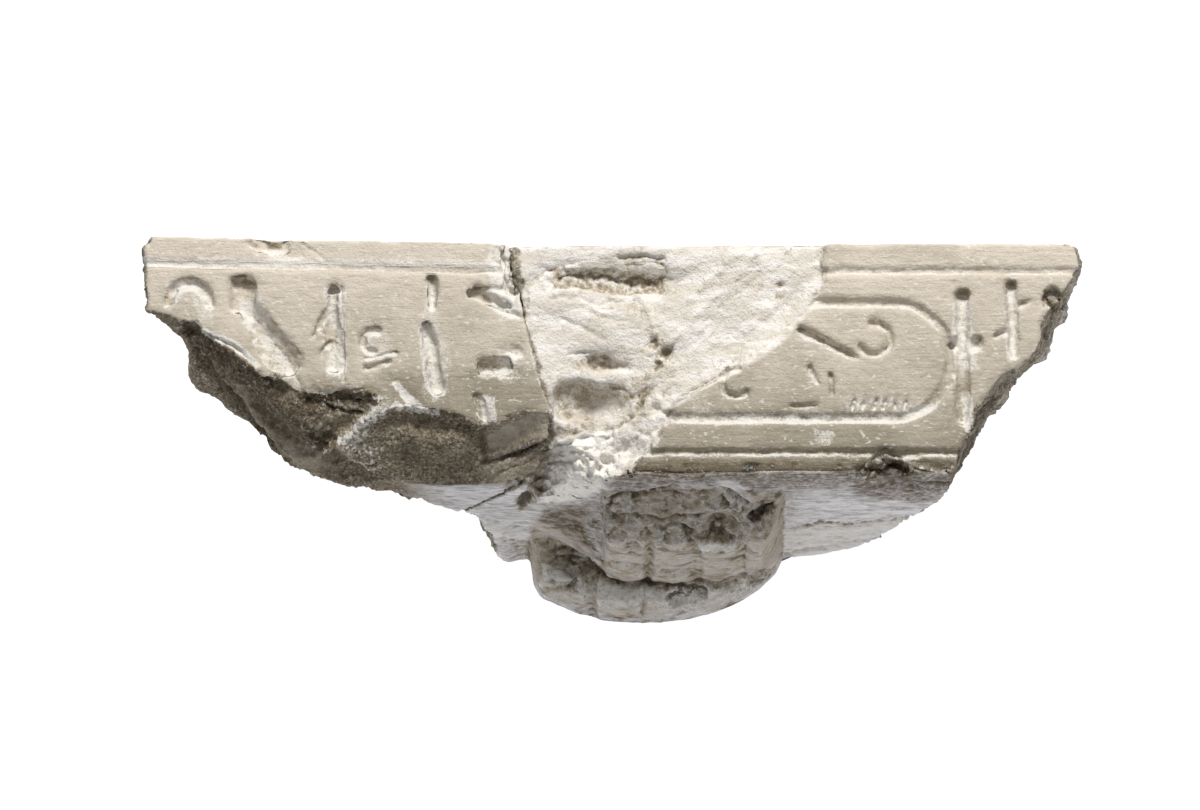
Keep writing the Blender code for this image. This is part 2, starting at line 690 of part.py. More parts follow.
def right_fragment(root):
    """The right fragment with the pale break, the ring and the hands."""
    fragment = new_object("right_fragment", body(), root, stone("right_stone", (0.61, 0.55, 0.46), 0.75))
    strokes = (*RIGHT_STROKES, *tick_strokes())
    cutters = [
        new_object("left_of_join", beside_join(-1), root),
        new_object("right_borders", border_cutter((THICKNESS - TOP_BAND, LOWER_BAND)), root),
        new_object("ring", ring_cutter(), root),
        new_object("right_strokes", stroke_cutter(strokes, RIGHT_ARCS), root),
        new_object("right_crossing", stroke_cutter(RIGHT_CROSSING, ()), root),
        new_object("right_chips", chip_cutter(RIGHT_CHIPS), root),
        new_object("pale_break", scar_cutter(), root),
        new_object("back_break", back_cutter(), root),
    ]
    cut_away(fragment, cutters)


def stand_at_origin(root):
    """Moves everything so that the origin is under the middle of the piece, on what it lies on."""
    bpy.context.view_layer.update()
    view = bpy.context.evaluated_depsgraph_get()
    corners = []
    for name in ("left_fragment", "right_fragment"):
        thing = bpy.data.objects[name].evaluated_get(view)
        corners.extend(thing.matrix_world @ vertex.co for vertex in thing.data.vertices)
    low = Vector([min(corner[axis] for corner in corners) for axis in range(3)])
    high = Vector([max(corner[axis] for corner in corners) for axis in range(3)])
    middle = (low + high) / 2
    root.location = (-middle.x, -middle.y, -low.z)
    bpy.context.view_layer.update()


def main():
    """Builds the two fragments."""
    for thing in list(bpy.data.objects):
        bpy.data.objects.remove(thing)
    root = new_empty("piece")
    left_fragment(root)
    right_fragment(root)
    stand_at_origin(root)


main()
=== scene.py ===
"""Dresses the offering table fragment: its two stone fragments, the floor, the light and the camera.

Each fragment is worked from its CAD solid: a close mesh is laid over it, the facets of its breaks are
relaxed, and then forms, grain and wear are cut into it. What a hollow, a crack or a stain needs is placed by
where the camera of the photograph sees it, in pixels of the 1200 by 810 frame, and lies on the solid there.
"""

import logging
import math
from collections.abc import Callable
from dataclasses import dataclass
from enum import Enum

import bmesh
import bpy
import numpy as np
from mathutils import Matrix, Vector
from mathutils.bvhtree import BVHTree


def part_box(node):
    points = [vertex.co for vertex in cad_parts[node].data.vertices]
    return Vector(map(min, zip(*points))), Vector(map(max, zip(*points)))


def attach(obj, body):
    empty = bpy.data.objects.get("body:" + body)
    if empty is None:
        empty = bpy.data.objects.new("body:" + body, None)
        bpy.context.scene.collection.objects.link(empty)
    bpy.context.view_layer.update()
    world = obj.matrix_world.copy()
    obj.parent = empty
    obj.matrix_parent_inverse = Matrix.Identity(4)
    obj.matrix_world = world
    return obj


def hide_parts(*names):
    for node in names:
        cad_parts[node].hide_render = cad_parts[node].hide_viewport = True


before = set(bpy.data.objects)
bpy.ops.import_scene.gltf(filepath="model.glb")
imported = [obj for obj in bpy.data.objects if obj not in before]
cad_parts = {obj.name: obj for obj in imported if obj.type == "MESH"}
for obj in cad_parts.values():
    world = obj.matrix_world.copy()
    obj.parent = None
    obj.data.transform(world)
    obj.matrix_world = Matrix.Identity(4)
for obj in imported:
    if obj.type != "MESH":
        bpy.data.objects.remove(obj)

LOG = logging.getLogger("offering_table")
MM = 0.001
# How far the face's lower edge is worn back, and how high up, in millimetres.
LOWER_WEAR = 1.9
LOWER_BAND = 4.2
# Corners of the CAD mesh closer than this become one, in metres.
WELD = 1e-6
# How readily a point that the camera sees is taken out, and in how many steps that rises to 1.
LEAST_THINNED = 0.04
THIN_STEPS = 10
# The spacing that the rounds of evening are given for, in metres.
ROUND_SPACING = 0.00042
Points = tuple[tuple[float, float], ...]
Colour = tuple[float, float, float]


@dataclass(frozen=True)
class Slab:
    """The modelling frame of the CAD: the carved face at Z 0, the underside at Y 0, X from the middle.

    Args:
        thickness: From the underside to the top face, in metres.
        depth: From the carved face to the back.
        middle: The X of the middle of the front edge.
        tilt: How far the photograph's camera stands off the face's normal, towards the underside.
        scale: Pixels to a metre on the face.
        foot: The pixel of the middle of the face's lower edge.
    """

    thickness: float = 0.0449
    depth: float = 0.083
    middle: float = 0.000233
    tilt: float = math.radians(11.5)
    scale: float = 5270.0
    foot: tuple[float, float] = (613.5, 475.0)

    def origin(self) -> Vector:
        """The frame's place in the model: the middle of the face's lower edge."""
        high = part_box("right_fragment")[1]
        return Vector((self.middle, high.y - self.thickness, high.z))

    def seen(self, points: np.ndarray) -> np.ndarray:
        """Where the photograph shows points.

        Args:
            points: Places in the modelling frame, in metres.

        Returns:
            Their pixels, one row each.
        """
        up = points[:, 1] * math.cos(self.tilt) + points[:, 2] * math.sin(self.tilt)
        across = self.foot[0] + self.scale * points[:, 0]
        return np.stack([across, self.foot[1] - self.scale * up], axis=1)


class Grain:
    """Seeded smooth noise over arrays of points."""

    def __init__(self, seed: int) -> None:
        """Keeps the seed that all layers start from."""
        self.seed = seed

    @staticmethod
    def _mixed(cell: np.ndarray, salt: int) -> np.ndarray:
        """One well-mixed whole number for each cell of a grid.

        Args:
            cell: The cells' whole coordinates.
            salt: Tells one layer from another.

        Returns:
            An unsigned number for each row.
        """
        whole = (cell.astype(np.int64) & 0xFFFFFFFF).astype(np.uint32)
        value = whole[:, 0] * np.uint32(73856093) ^ whole[:, 1] * np.uint32(19349663)
        value ^= whole[:, 2] * np.uint32(83492791) ^ np.uint32((salt * 2654435761) & 0xFFFFFFFF)
        value = (value ^ (value >> np.uint32(15))) * np.uint32(2246822519)
        value = (value ^ (value >> np.uint32(13))) * np.uint32(3266489917)
        return value ^ (value >> np.uint32(16))

    def wave(self, points: np.ndarray, size: float, salt: int = 0) -> np.ndarray:
        """Gradient noise, about -1 to 1.

        Args:
            points: Places, one row each.
            size: The distance from one lump to the next.
            salt: Tells one layer from another.

        Returns:
            One value for each point.
        """
        place = points / size + 17.3 * (salt + 1)
        cell = np.floor(place)
        inside = place - cell
        ease = inside**3 * (inside * (inside * 6 - 15) + 10)
        total = np.zeros(len(points))
        for corner in range(8):
            step = np.array([corner & 1, corner >> 1 & 1, corner >> 2 & 1])
            mixed = self._mixed(cell + step, self.seed * 131 + salt)
            parts = [(mixed >> np.uint32(10 * axis) & np.uint32(1023)) / 511.5 - 1 for axis in range(3)]
            share = np.prod(np.where(step, ease, 1 - ease), axis=1)
            total += share * sum(parts[axis] * (inside[:, axis] - step[axis]) for axis in range(3))
        return total * 1.5

    def layered(self, points: np.ndarray, size: float, layers: int, salt: int = 0) -> np.ndarray:
        """Noise of several sizes, each half as large and half as strong as the one before.

        Args:
            points: Places, one row each.
            size: The size of the coarsest lumps.
            layers: How many sizes there are.
            salt: Tells one layer from another.

        Returns:
            One value for each point, about -1 to 1.
        """
        total = sum(self.wave(points, size / 2**k, salt + k) / 2**k for k in range(layers))
        return total / (2 - 0.5 ** (layers - 1)) * 1.3

    def pits(self, points: np.ndarray, size: float, salt: int = 0) -> np.ndarray:
        """Scattered round pits, 1 in the middle of one and 0 outside.

        Args:
            points: Places, one row each.
            size: The width of the cells that hold one pit each.
            salt: Tells one layer from another.

        Returns:
            One value for each point.
        """
        place = points / size
        cell = np.floor(place)
        best = np.zeros(len(points))
        for corner in range(27):
            step = np.array([corner % 3, corner // 3 % 3, corner // 9]) - 1
            mixed = self._mixed(cell + step, self.seed * 131 + salt)
            parts = [(mixed >> np.uint32(8 * axis) & np.uint32(255)) / 255 for axis in range(4)]
            middle = cell + step + np.stack(parts[:3], axis=1)
            reach = 0.15 + 0.45 * parts[3] ** 2
            best = np.maximum(best, 1 - np.linalg.norm(place - middle, axis=1) / reach)
        return best

    def facets(self, points: np.ndarray, size: float, salt: int = 0) -> np.ndarray:
        """Flat facets with steps between them, as on a break, about -1 to 1.

        Args:
            points: Places, one row each.
            size: About how wide a facet is.
            salt: Tells one layer from another.

        Returns:
            One value for each point.
        """
        place = points / size
        cell = np.floor(place)
        nearest = np.full(len(points), 99.0)
        value = np.zeros(len(points))
        for corner in range(27):
            step = np.array([corner % 3, corner // 3 % 3, corner // 9]) - 1
            mixed = self._mixed(cell + step, self.seed * 131 + salt)
            parts = [(mixed >> np.uint32(8 * axis) & np.uint32(255)) / 255 for axis in range(4)]
            out = place - cell - step - np.stack(parts[:3], axis=1)
            far = np.einsum("ij,ij->i", out, out)
            turned = mixed * np.uint32(2654435761)
            lean = [(turned >> np.uint32(9 * axis) & np.uint32(255)) / 127.5 - 1 for axis in range(3)]
            level = sum(lean[axis] * out[:, axis] for axis in range(3)) + parts[3] - 0.5
            value = np.where(far < nearest, level, value)
            nearest = np.minimum(far, nearest)
        return value


def eased(value: np.ndarray, low: float, high: float) -> np.ndarray:
    """Values brought to 0 at low and 1 at high, eased in and out."""
    share = np.clip((value - low) / (high - low), 0, 1)
    return share * share * (3 - 2 * share)


def to_line(places: np.ndarray, points: Points) -> tuple[np.ndarray, np.ndarray]:
    """How far places lie from a line of straight runs.

    Args:
        places: Places in the plane, one row each.
        points: The line's corners.

    Returns:
        The distance of each place, and that distance again, negative on the line's left.
    """
    near = np.full(len(places), 1e9)
    side = np.zeros(len(places))
    for a, b in zip(points, points[1:]):
        start = np.array(a, float)
        along = np.array(b, float) - start
        out = places - start
        share = np.clip(out @ along / (along @ along), 0, 1)
        gap = out - share[:, None] * along
        far = np.hypot(gap[:, 0], gap[:, 1])
        closer = far < near
        near = np.where(closer, far, near)
        side = np.where(closer, along[0] * out[:, 1] - along[1] * out[:, 0], side)
    return near, np.where(side < 0, -near, near)


def inside(places: np.ndarray, points: Points, soft: float) -> np.ndarray:
    """How far places lie inside an outline.

    Args:
        places: Places in the plane, one row each.
        points: The outline's corners, all round.
        soft: The run in which the value goes from 0 to 1 across the outline.

    Returns:
        1 inside, 0 outside, and in between near the outline.
    """
    value = np.zeros(len(places))
    corners = np.array(points, float)
    near = np.all((places > corners.min(0) - soft) & (places < corners.max(0) + soft), axis=1)
    spot = places[near]
    within = np.zeros(len(spot), bool)
    closed = (*points, points[0])
    for (ax, ay), (bx, by) in zip(closed, closed[1:]):
        if ay != by:
            at = ax + (spot[:, 1] - ay) * (bx - ax) / (by - ay)
            within ^= ((ay > spot[:, 1]) != (by > spot[:, 1])) & (spot[:, 0] < at)
    far, _ = to_line(spot, closed)
    value[near] = eased(np.where(within, far, -far), -soft / 2, soft / 2)
    return value


class Form(Enum):
    """What a placed form does to the stone."""

    DENT = "a rounded hollow"
    PIT = "a hollow with steep sides and a flat floor"
    CRACK = "a narrow groove along a line"
    LEDGE = "a step down on the right of a line, fading away from it"
    SWELL = "a rounded swelling, also where the photograph doesn't show it"
    LIFT = "a rounded mass pushed straight out of the face"


@dataclass(frozen=True)
class Mark:
    """A form cut into the stone, or raised where its depth is negative.

    Args:
        form: What it does.
        at: Its middle for a hollow, or the corners of its line.
        size: The two half widths of a hollow, or the reach from the line, in pixels.
        depth: How deep it is, in millimetres.
        turn: How far a hollow is turned clockwise, in degrees.
        rough: How uneven its outline is.
    """

    form: Form
    at: Points
    size: tuple[float, float]
    depth: float
    turn: float = 0.0
    rough: float = 0.35

    def cut(self, places: np.ndarray, stir: np.ndarray) -> np.ndarray:
        """How deep the form goes at places.

        Args:
            places: Pixels, one row each.
            stir: Noise of each place, in two parts, which makes the outline uneven.

        Returns:
            The depth in millimetres.
        """
        value = np.zeros(len(places))
        corners = np.array(self.at, float)
        reach = 3 * max(self.size)
        low, high = corners.min(0) - reach, corners.max(0) + reach
        near = np.all((places > low) & (places < high), axis=1)
        if not near.any():
            return value
        spot = places[near] + stir[near] * self.rough * (0.7 * min(self.size) + 3)
        if self.form in (Form.DENT, Form.PIT, Form.SWELL, Form.LIFT):
            angle = math.radians(self.turn)
            out = spot - corners[0]
            along = (out[:, 0] * math.cos(angle) + out[:, 1] * math.sin(angle)) / self.size[0]
            across = (out[:, 1] * math.cos(angle) - out[:, 0] * math.sin(angle)) / self.size[1]
            power = 3 if self.form is Form.PIT else 1
            value[near] = np.exp(-((along**2 + across**2) ** power))
        elif self.form is Form.CRACK:
            far, _ = to_line(spot, self.at)
            value[near] = np.exp(-((far / self.size[0]) ** 2))
        else:
            far, side = to_line(spot, self.at)
            fade = np.exp(-((side / self.size[1]) ** 2))
            value[near] = np.where(side > 0, fade, 0) * eased(side, 0, self.size[0])
        return value * self.depth


class Cover(Enum):
    """What lies on the stone, how it is coloured, or where shade and light are painted on it, each a mask of
    the finish.
    """

    DRESSED = "dressed"
    FRESH = "fresh"
    WHITE = "white"
    SOIL_AND_SHADE = "soil_and_shade"
    DUST_AND_LIGHT = "dust_and_light"
    TONE = "tone"
    COOL_AND_FLOOR_LIGHT = "cool_and_floor_light"
    GRIME_AND_SHADE = "grime_and_shade"


@dataclass(frozen=True)
class CoverPatch:
    """A patch of one cover: a real stain, or painted shade or painted light.

    Args:
        cover: What it is.
        at: Its outline, in pixels.
        soft: How wide its edge is, in pixels.
        amount: How much it adds, or takes away.
    """

    cover: Cover
    at: Points
    soft: float
    amount: float


@dataclass(frozen=True)
class Grit:
    """A patch of the surface that is rougher or smoother than the rest.

    Args:
        at: Its outline, in pixels.
        height: How far its grains stand out, in millimetres.
        size: The size of the grains, in metres.
        calm: How much of the other roughness it takes away.
        soft: How wide its edge is, in pixels.
    """

    at: Points
    height: float
    size: float = 0.0012
    calm: float = 0.0
    soft: float = 10.0


def dent(
    x: float, y: float, wide: float, high: float, depth: float, turn: float = 0.0, rough: float = 0.35
) -> Mark:
    """A rounded hollow."""
    return Mark(Form.DENT, ((x, y),), (wide, high), depth, turn, rough)


def pit(
    x: float, y: float, wide: float, high: float, depth: float, turn: float = 0.0, rough: float = 0.5
) -> Mark:
    """A hollow with steep sides."""
    return Mark(Form.PIT, ((x, y),), (wide, high), depth, turn, rough)


def swell(x: float, y: float, wide: float, high: float, rise: float, turn: float = 0.0) -> Mark:
    """A rounded swelling on all sides."""
    return Mark(Form.SWELL, ((x, y),), (wide, high), -rise, turn, 0.5)


def lift(x: float, y: float, wide: float, high: float, rise: float, turn: float = 0.0) -> Mark:
    """A rounded mass pushed out of the face."""
    return Mark(Form.LIFT, ((x, y),), (wide, high), rise, turn, 0.8)


def crack(at: Points, width: float, depth: float, rough: float = 0.6) -> Mark:
    """A narrow groove, or a narrow ridge where its depth is negative."""
    return Mark(Form.CRACK, at, (width, width), depth, 0.0, rough)


def ledge(at: Points, steep: float, reach: float, depth: float, rough: float = 0.8) -> Mark:
    """A step down on the right of a line, seen along it."""
    return Mark(Form.LEDGE, at, (steep, reach), depth, 0.0, rough)


def stained(at: Points, soft: float, amounts: dict[Cover, float]) -> tuple[CoverPatch, ...]:
    """Several covers with one outline."""
    return tuple(CoverPatch(cover, at, soft, amount) for cover, amount in amounts.items())


@dataclass(frozen=True)
class StoneFinish:
    """The finish of limestone: dressed and worn, broken, dusty and stained, with painted shade in hollows, on
    walls facing away from the key and beneath the lower edge, and painted light on ridges and on walls facing
    the key.

    Args:
        name: The material's name.
        light: Clean dressed stone.
        deep: Dressed stone where it is darkest, as towards the bottom of the face.
        broken: A weathered break.
        fresh: A pale break.
        white: Where a break is crystalline.
        tan: Thin dirt and rust in hollows, which also tints the lighter painted shade.
        soil_and_shade: Dirt in the hollows, and the colour of painted shade in hollows and on walls that face
            away from the key.
        dust_and_light: Powder in the carving, and the colour of painted light on ridges and on walls that face
            the key.
        cool_and_floor_light: The greyer stone underneath, with painted bluish floor light on surfaces that
            face down.
        bright: Clean crystals.
        grime_and_shade: What an even layer of dirt lets through, also used as painted shade beneath the face's
            lower edge, beside and along the rims of the hands, and under the foot.
    """

    name: str
    light: Colour = (0.62, 0.55, 0.457)
    deep: Colour = (0.27, 0.235, 0.175)
    broken: Colour = (0.27, 0.24, 0.19)
    fresh: Colour = (0.68, 0.628, 0.55)
    white: Colour = (0.84, 0.795, 0.75)
    tan: Colour = (0.40, 0.32, 0.205)
    soil_and_shade: Colour = (0.085, 0.068, 0.045)
    dust_and_light: Colour = (0.76, 0.73, 0.68)
    cool_and_floor_light: Colour = (0.6, 0.583, 0.595)
    bright: Colour = (0.97, 0.93, 0.86)
    grime_and_shade: Colour = (0.30, 0.26, 0.205)

    def build(self) -> bpy.types.Material:
        """Makes the material.

        Returns:
            The material, with masks from the mesh and procedural detail.
        """
        material = bpy.data.materials.new(self.name)
        material.use_nodes = True
        graph = Graph(material.node_tree)
        shader = material.node_tree.nodes["Principled BSDF"]
        mask = {cover: graph.attribute(cover.value) for cover in Cover}
        blotch = graph.noise(0.009, 5, 0.6)
        grain = graph.noise(0.0011, 6, 0.65)
        speck = graph.noise(0.00042, 3, 0.6)
        fleck = graph.noise(0.0006, 2, 0.5, (0.5, 1, 1))
        stria = graph.noise(0.0007, 4, 0.6, (0.12, 1, 1))
        streak = graph.noise(0.0022, 5, 0.6, (0.25, 1, 1), 35)
        lump = graph.noise(0.0017, 3, 0.6)

        tone = graph.sum(mask[Cover.TONE], graph.scaled(blotch, 0.5, -0.25))
        tone = graph.sum(tone, graph.scaled(stria, 0.42, -0.21))
        tone = graph.sum(tone, graph.scaled(grain, 0.3, -0.15))
        dressed = graph.blend(self.light, self.deep, graph.eased(tone, 0.0, 1.0))
        rough_tone = graph.sum(graph.scaled(blotch, 0.9, -0.45), graph.scaled(grain, 2.0, -1.0))
        rough_tone = graph.sum(rough_tone, graph.scaled(speck, 1.6, -0.8))
        rough_tone = graph.sum(rough_tone, graph.scaled(lump, 1.6, -0.8))
        lighter = tuple(min(1.0, part * 1.9) for part in self.broken)
        broken = graph.blend(self.broken, lighter, graph.eased(rough_tone, -0.35, 0.35))
        salt = graph.noise(0.0005, 2, 0.5)
        broken = graph.blend(broken, self.light, graph.scaled(graph.eased(salt, 0.55, 0.66), 0.6, 0))
        pepper = graph.eased(graph.scaled(salt, -1.0, 1.0), 0.55, 0.66)
        broken = graph.blend(broken, self.soil_and_shade, graph.scaled(pepper, 0.75, 0))
        flecks = graph.eased(graph.sum(fleck, graph.scaled(blotch, 0.3, -0.15)), 0.62, 0.70)
        dressed = graph.blend(dressed, self.dust_and_light, graph.scaled(flecks, 0.55, 0))
        colour = graph.blend(broken, dressed, mask[Cover.DRESSED])
        pale = graph.blend(self.fresh, self.white, graph.eased(streak, 0.42, 0.62))
        crumb = graph.sum(graph.scaled(grain, 0.6, 0), graph.scaled(lump, 0.4, 0))
        pale = graph.blend(pale, self.tan, graph.scaled(graph.eased(crumb, 0.53, 0.64), 0.3, 0))
        colour = graph.blend(colour, pale, mask[Cover.FRESH])
        # The greyer stone underneath, with painted bluish light from the floor.
        darker = tuple(part * 0.5 for part in self.cool_and_floor_light)
        paler = tuple(min(1.0, part * 1.45) for part in self.cool_and_floor_light)
        crackle = graph.noise(0.0016, 5, 0.75, (0.45, 1, 1))
        crackle = graph.sum(graph.scaled(crackle, 1.6, -0.8), graph.scaled(stria, 0.9, -0.45))
        cool_and_floor_light = graph.blend(darker, paler, graph.eased(graph.sum(crackle, 0.5), 0.12, 0.72))
        colour = graph.blend(colour, cool_and_floor_light, mask[Cover.COOL_AND_FLOOR_LIGHT])
        chalk = graph.sum(mask[Cover.WHITE], graph.scaled(speck, 0.5, -0.25))
        colour = graph.blend(colour, self.bright, graph.eased(chalk, 0.25, 0.8))
        course = graph.noise(0.0045, 6, 0.62, (1, 0.6, 1), -40)
        vein = graph.maths("ABSOLUTE", graph.scaled(course, 1.0, -0.5))
        veins = graph.times(graph.eased(graph.scaled(vein, -1.0, 0.035), 0.0, 0.035), mask[Cover.FRESH])
        veins = graph.times(veins, graph.eased(blotch, 0.5, 0.65))
        colour = graph.blend(colour, self.tan, graph.scaled(veins, 0.6, 0))
        # Dirt in the hollows, and painted shade in hollows and on walls of the carving that face away from the
        # key.
        soiling_and_shade = graph.sum(mask[Cover.SOIL_AND_SHADE], graph.scaled(grain, 1.5, -0.75))
        soiling_and_shade = graph.sum(soiling_and_shade, graph.scaled(speck, 0.7, -0.35))
        soiling_and_shade = graph.times(graph.eased(soiling_and_shade, 0.2, 0.7), graph.eased(mask[Cover.SOIL_AND_SHADE], 0.0, 0.18))
        kind = graph.blend(self.tan, self.soil_and_shade, graph.eased(mask[Cover.SOIL_AND_SHADE], 0.3, 1.1))
        colour = graph.blend(colour, kind, graph.scaled(soiling_and_shade, 0.92, 0))
        # An even layer of dirt, and painted shade beneath the lower edge, by the hands and under the foot.
        darkening = graph.times(mask[Cover.GRIME_AND_SHADE], graph.scaled(graph.eased(grain, 0.38, 0.62), 0.8, 0.6))
        colour = graph.blend(colour, self.grime_and_shade, darkening, "MULTIPLY")
        # Powder in the carving, and painted light on ridges and on walls that face the key.
        dusting_and_light = graph.sum(mask[Cover.DUST_AND_LIGHT], graph.scaled(speck, 1.0, -0.5))
        dusting_and_light = graph.sum(dusting_and_light, graph.scaled(grain, 0.8, -0.4))
        colour = graph.blend(colour, self.dust_and_light, graph.scaled(graph.eased(dusting_and_light, 0.25, 0.75), 0.85, 0))
        graph.join(colour, shader.inputs["Base Color"])

        rough = graph.scaled(mask[Cover.DRESSED], -1.1, 1.9)
        rough = graph.times(rough, graph.scaled(mask[Cover.FRESH], -0.3, 1.0))
        fine = graph.sum(graph.scaled(grain, 0.6, 0), graph.scaled(speck, 0.6, 0))
        fine = graph.times(graph.sum(fine, graph.scaled(lump, 1.1, 0)), rough)
        lined = graph.times(graph.scaled(stria, 0.55, 0), mask[Cover.DRESSED])
        bump = material.node_tree.nodes.new("ShaderNodeBump")
        bump.inputs["Strength"].default_value = 0.9
        bump.inputs["Distance"].default_value = 0.00042
        graph.join(graph.sum(fine, lined), bump.inputs["Height"])
        graph.join(bump.outputs["Normal"], shader.inputs["Normal"])
        graph.join(graph.scaled(grain, 0.3, 0.62), shader.inputs["Roughness"])
        shader.inputs["Specular IOR Level"].default_value = 0.3
        return material


class Graph:
    """Short calls for the nodes of a material."""

    def __init__(self, tree: bpy.types.NodeTree) -> None:
        """Keeps the tree and makes its coordinates, which are those of the object, in metres."""
        self.tree = tree
        self.place = tree.nodes.new("ShaderNodeTexCoord").outputs["Object"]

    def join(self, source: bpy.types.NodeSocket, target: bpy.types.NodeSocket) -> None:
        """Links two sockets."""
        self.tree.links.new(source, target)

    def feed(self, value: object, target: bpy.types.NodeSocket) -> None:
        """Links a socket, or sets a number or a colour.

        Args:
            value: A socket, a number or a colour.
            target: The input that takes it.
        """
        if isinstance(value, bpy.types.NodeSocket):
            self.join(value, target)
        elif isinstance(value, tuple):
            target.default_value = (*value, 1)
        else:
            target.default_value = value

    def attribute(self, name: str) -> bpy.types.NodeSocket:
        """A mask of the mesh."""
        node = self.tree.nodes.new("ShaderNodeAttribute")
        node.attribute_name = name
        return node.outputs["Fac"]

    def noise(
        self,
        size: float,
        detail: float,
        roughness: float,
        stretch: Colour = (1, 1, 1),
        turn: float = 0.0,
    ) -> bpy.types.NodeSocket:
        """Noise in the stone.

        Args:
            size: The size of its lumps, in metres.
            detail: How many finer layers it has.
            roughness: How strong they are.
            stretch: How close it is along each axis.
            turn: How far it is turned about the face's normal, in degrees.

        Returns:
            The noise, from 0 to 1.
        """
        mapping = self.tree.nodes.new("ShaderNodeMapping")
        mapping.inputs["Rotation"].default_value = (0, 0, math.radians(turn))
        mapping.inputs["Scale"].default_value = tuple(part / size for part in stretch)
        self.join(self.place, mapping.inputs["Vector"])
        node = self.tree.nodes.new("ShaderNodeTexNoise")
        node.inputs["Scale"].default_value = 1.0
        node.inputs["Detail"].default_value = detail
        node.inputs["Roughness"].default_value = roughness
        self.join(mapping.outputs["Vector"], node.inputs["Vector"])
        return node.outputs["Fac"]

    def maths(self, kind: str, *values: object) -> bpy.types.NodeSocket:
        """One step of arithmetic.

        Args:
            kind: Blender's name for it.
            values: Sockets or numbers.

        Returns:
            The result.
        """
        node = self.tree.nodes.new("ShaderNodeMath")
        node.operation = kind
        for index, value in enumerate(values):
            self.feed(value, node.inputs[index])
        return node.outputs["Value"]

    def sum(self, a: object, b: object) -> bpy.types.NodeSocket:
        """Two values added."""
        return self.maths("ADD", a, b)

    def times(self, a: object, b: object) -> bpy.types.NodeSocket:
        """Two values multiplied."""
        return self.maths("MULTIPLY", a, b)

    def scaled(self, value: object, gain: float, offset: float) -> bpy.types.NodeSocket:
        """A value times a gain, plus an offset."""
        return self.maths("MULTIPLY_ADD", value, gain, offset)

    def eased(self, value: object, low: float, high: float) -> bpy.types.NodeSocket:
        """A value brought to 0 at low and 1 at high.

        Args:
            value: The socket to bring there.
            low: What becomes 0.
            high: What becomes 1.

        Returns:
            The eased value.
        """
        node = self.tree.nodes.new("ShaderNodeMapRange")
        node.interpolation_type = "SMOOTHSTEP"
        node.inputs["From Min"].default_value = low
        node.inputs["From Max"].default_value = high
        self.join(value, node.inputs["Value"])
        return node.outputs["Result"]

    def blend(self, a: object, b: object, share: object, kind: str = "MIX") -> bpy.types.NodeSocket:
        """A colour between two.

        Args:
            a: The colour at 0, a socket or a colour.
            b: The colour at 1.
            share: How far from one to the other.
            kind: Blender's name for the way they mix.

        Returns:
            The mixed colour.
        """
        node = self.tree.nodes.new("ShaderNodeMix")
        node.data_type = "RGBA"
        node.blend_type = kind
        self.feed(share, node.inputs[0])
        self.feed(a, node.inputs[6])
        self.feed(b, node.inputs[7])
        return node.outputs[2]


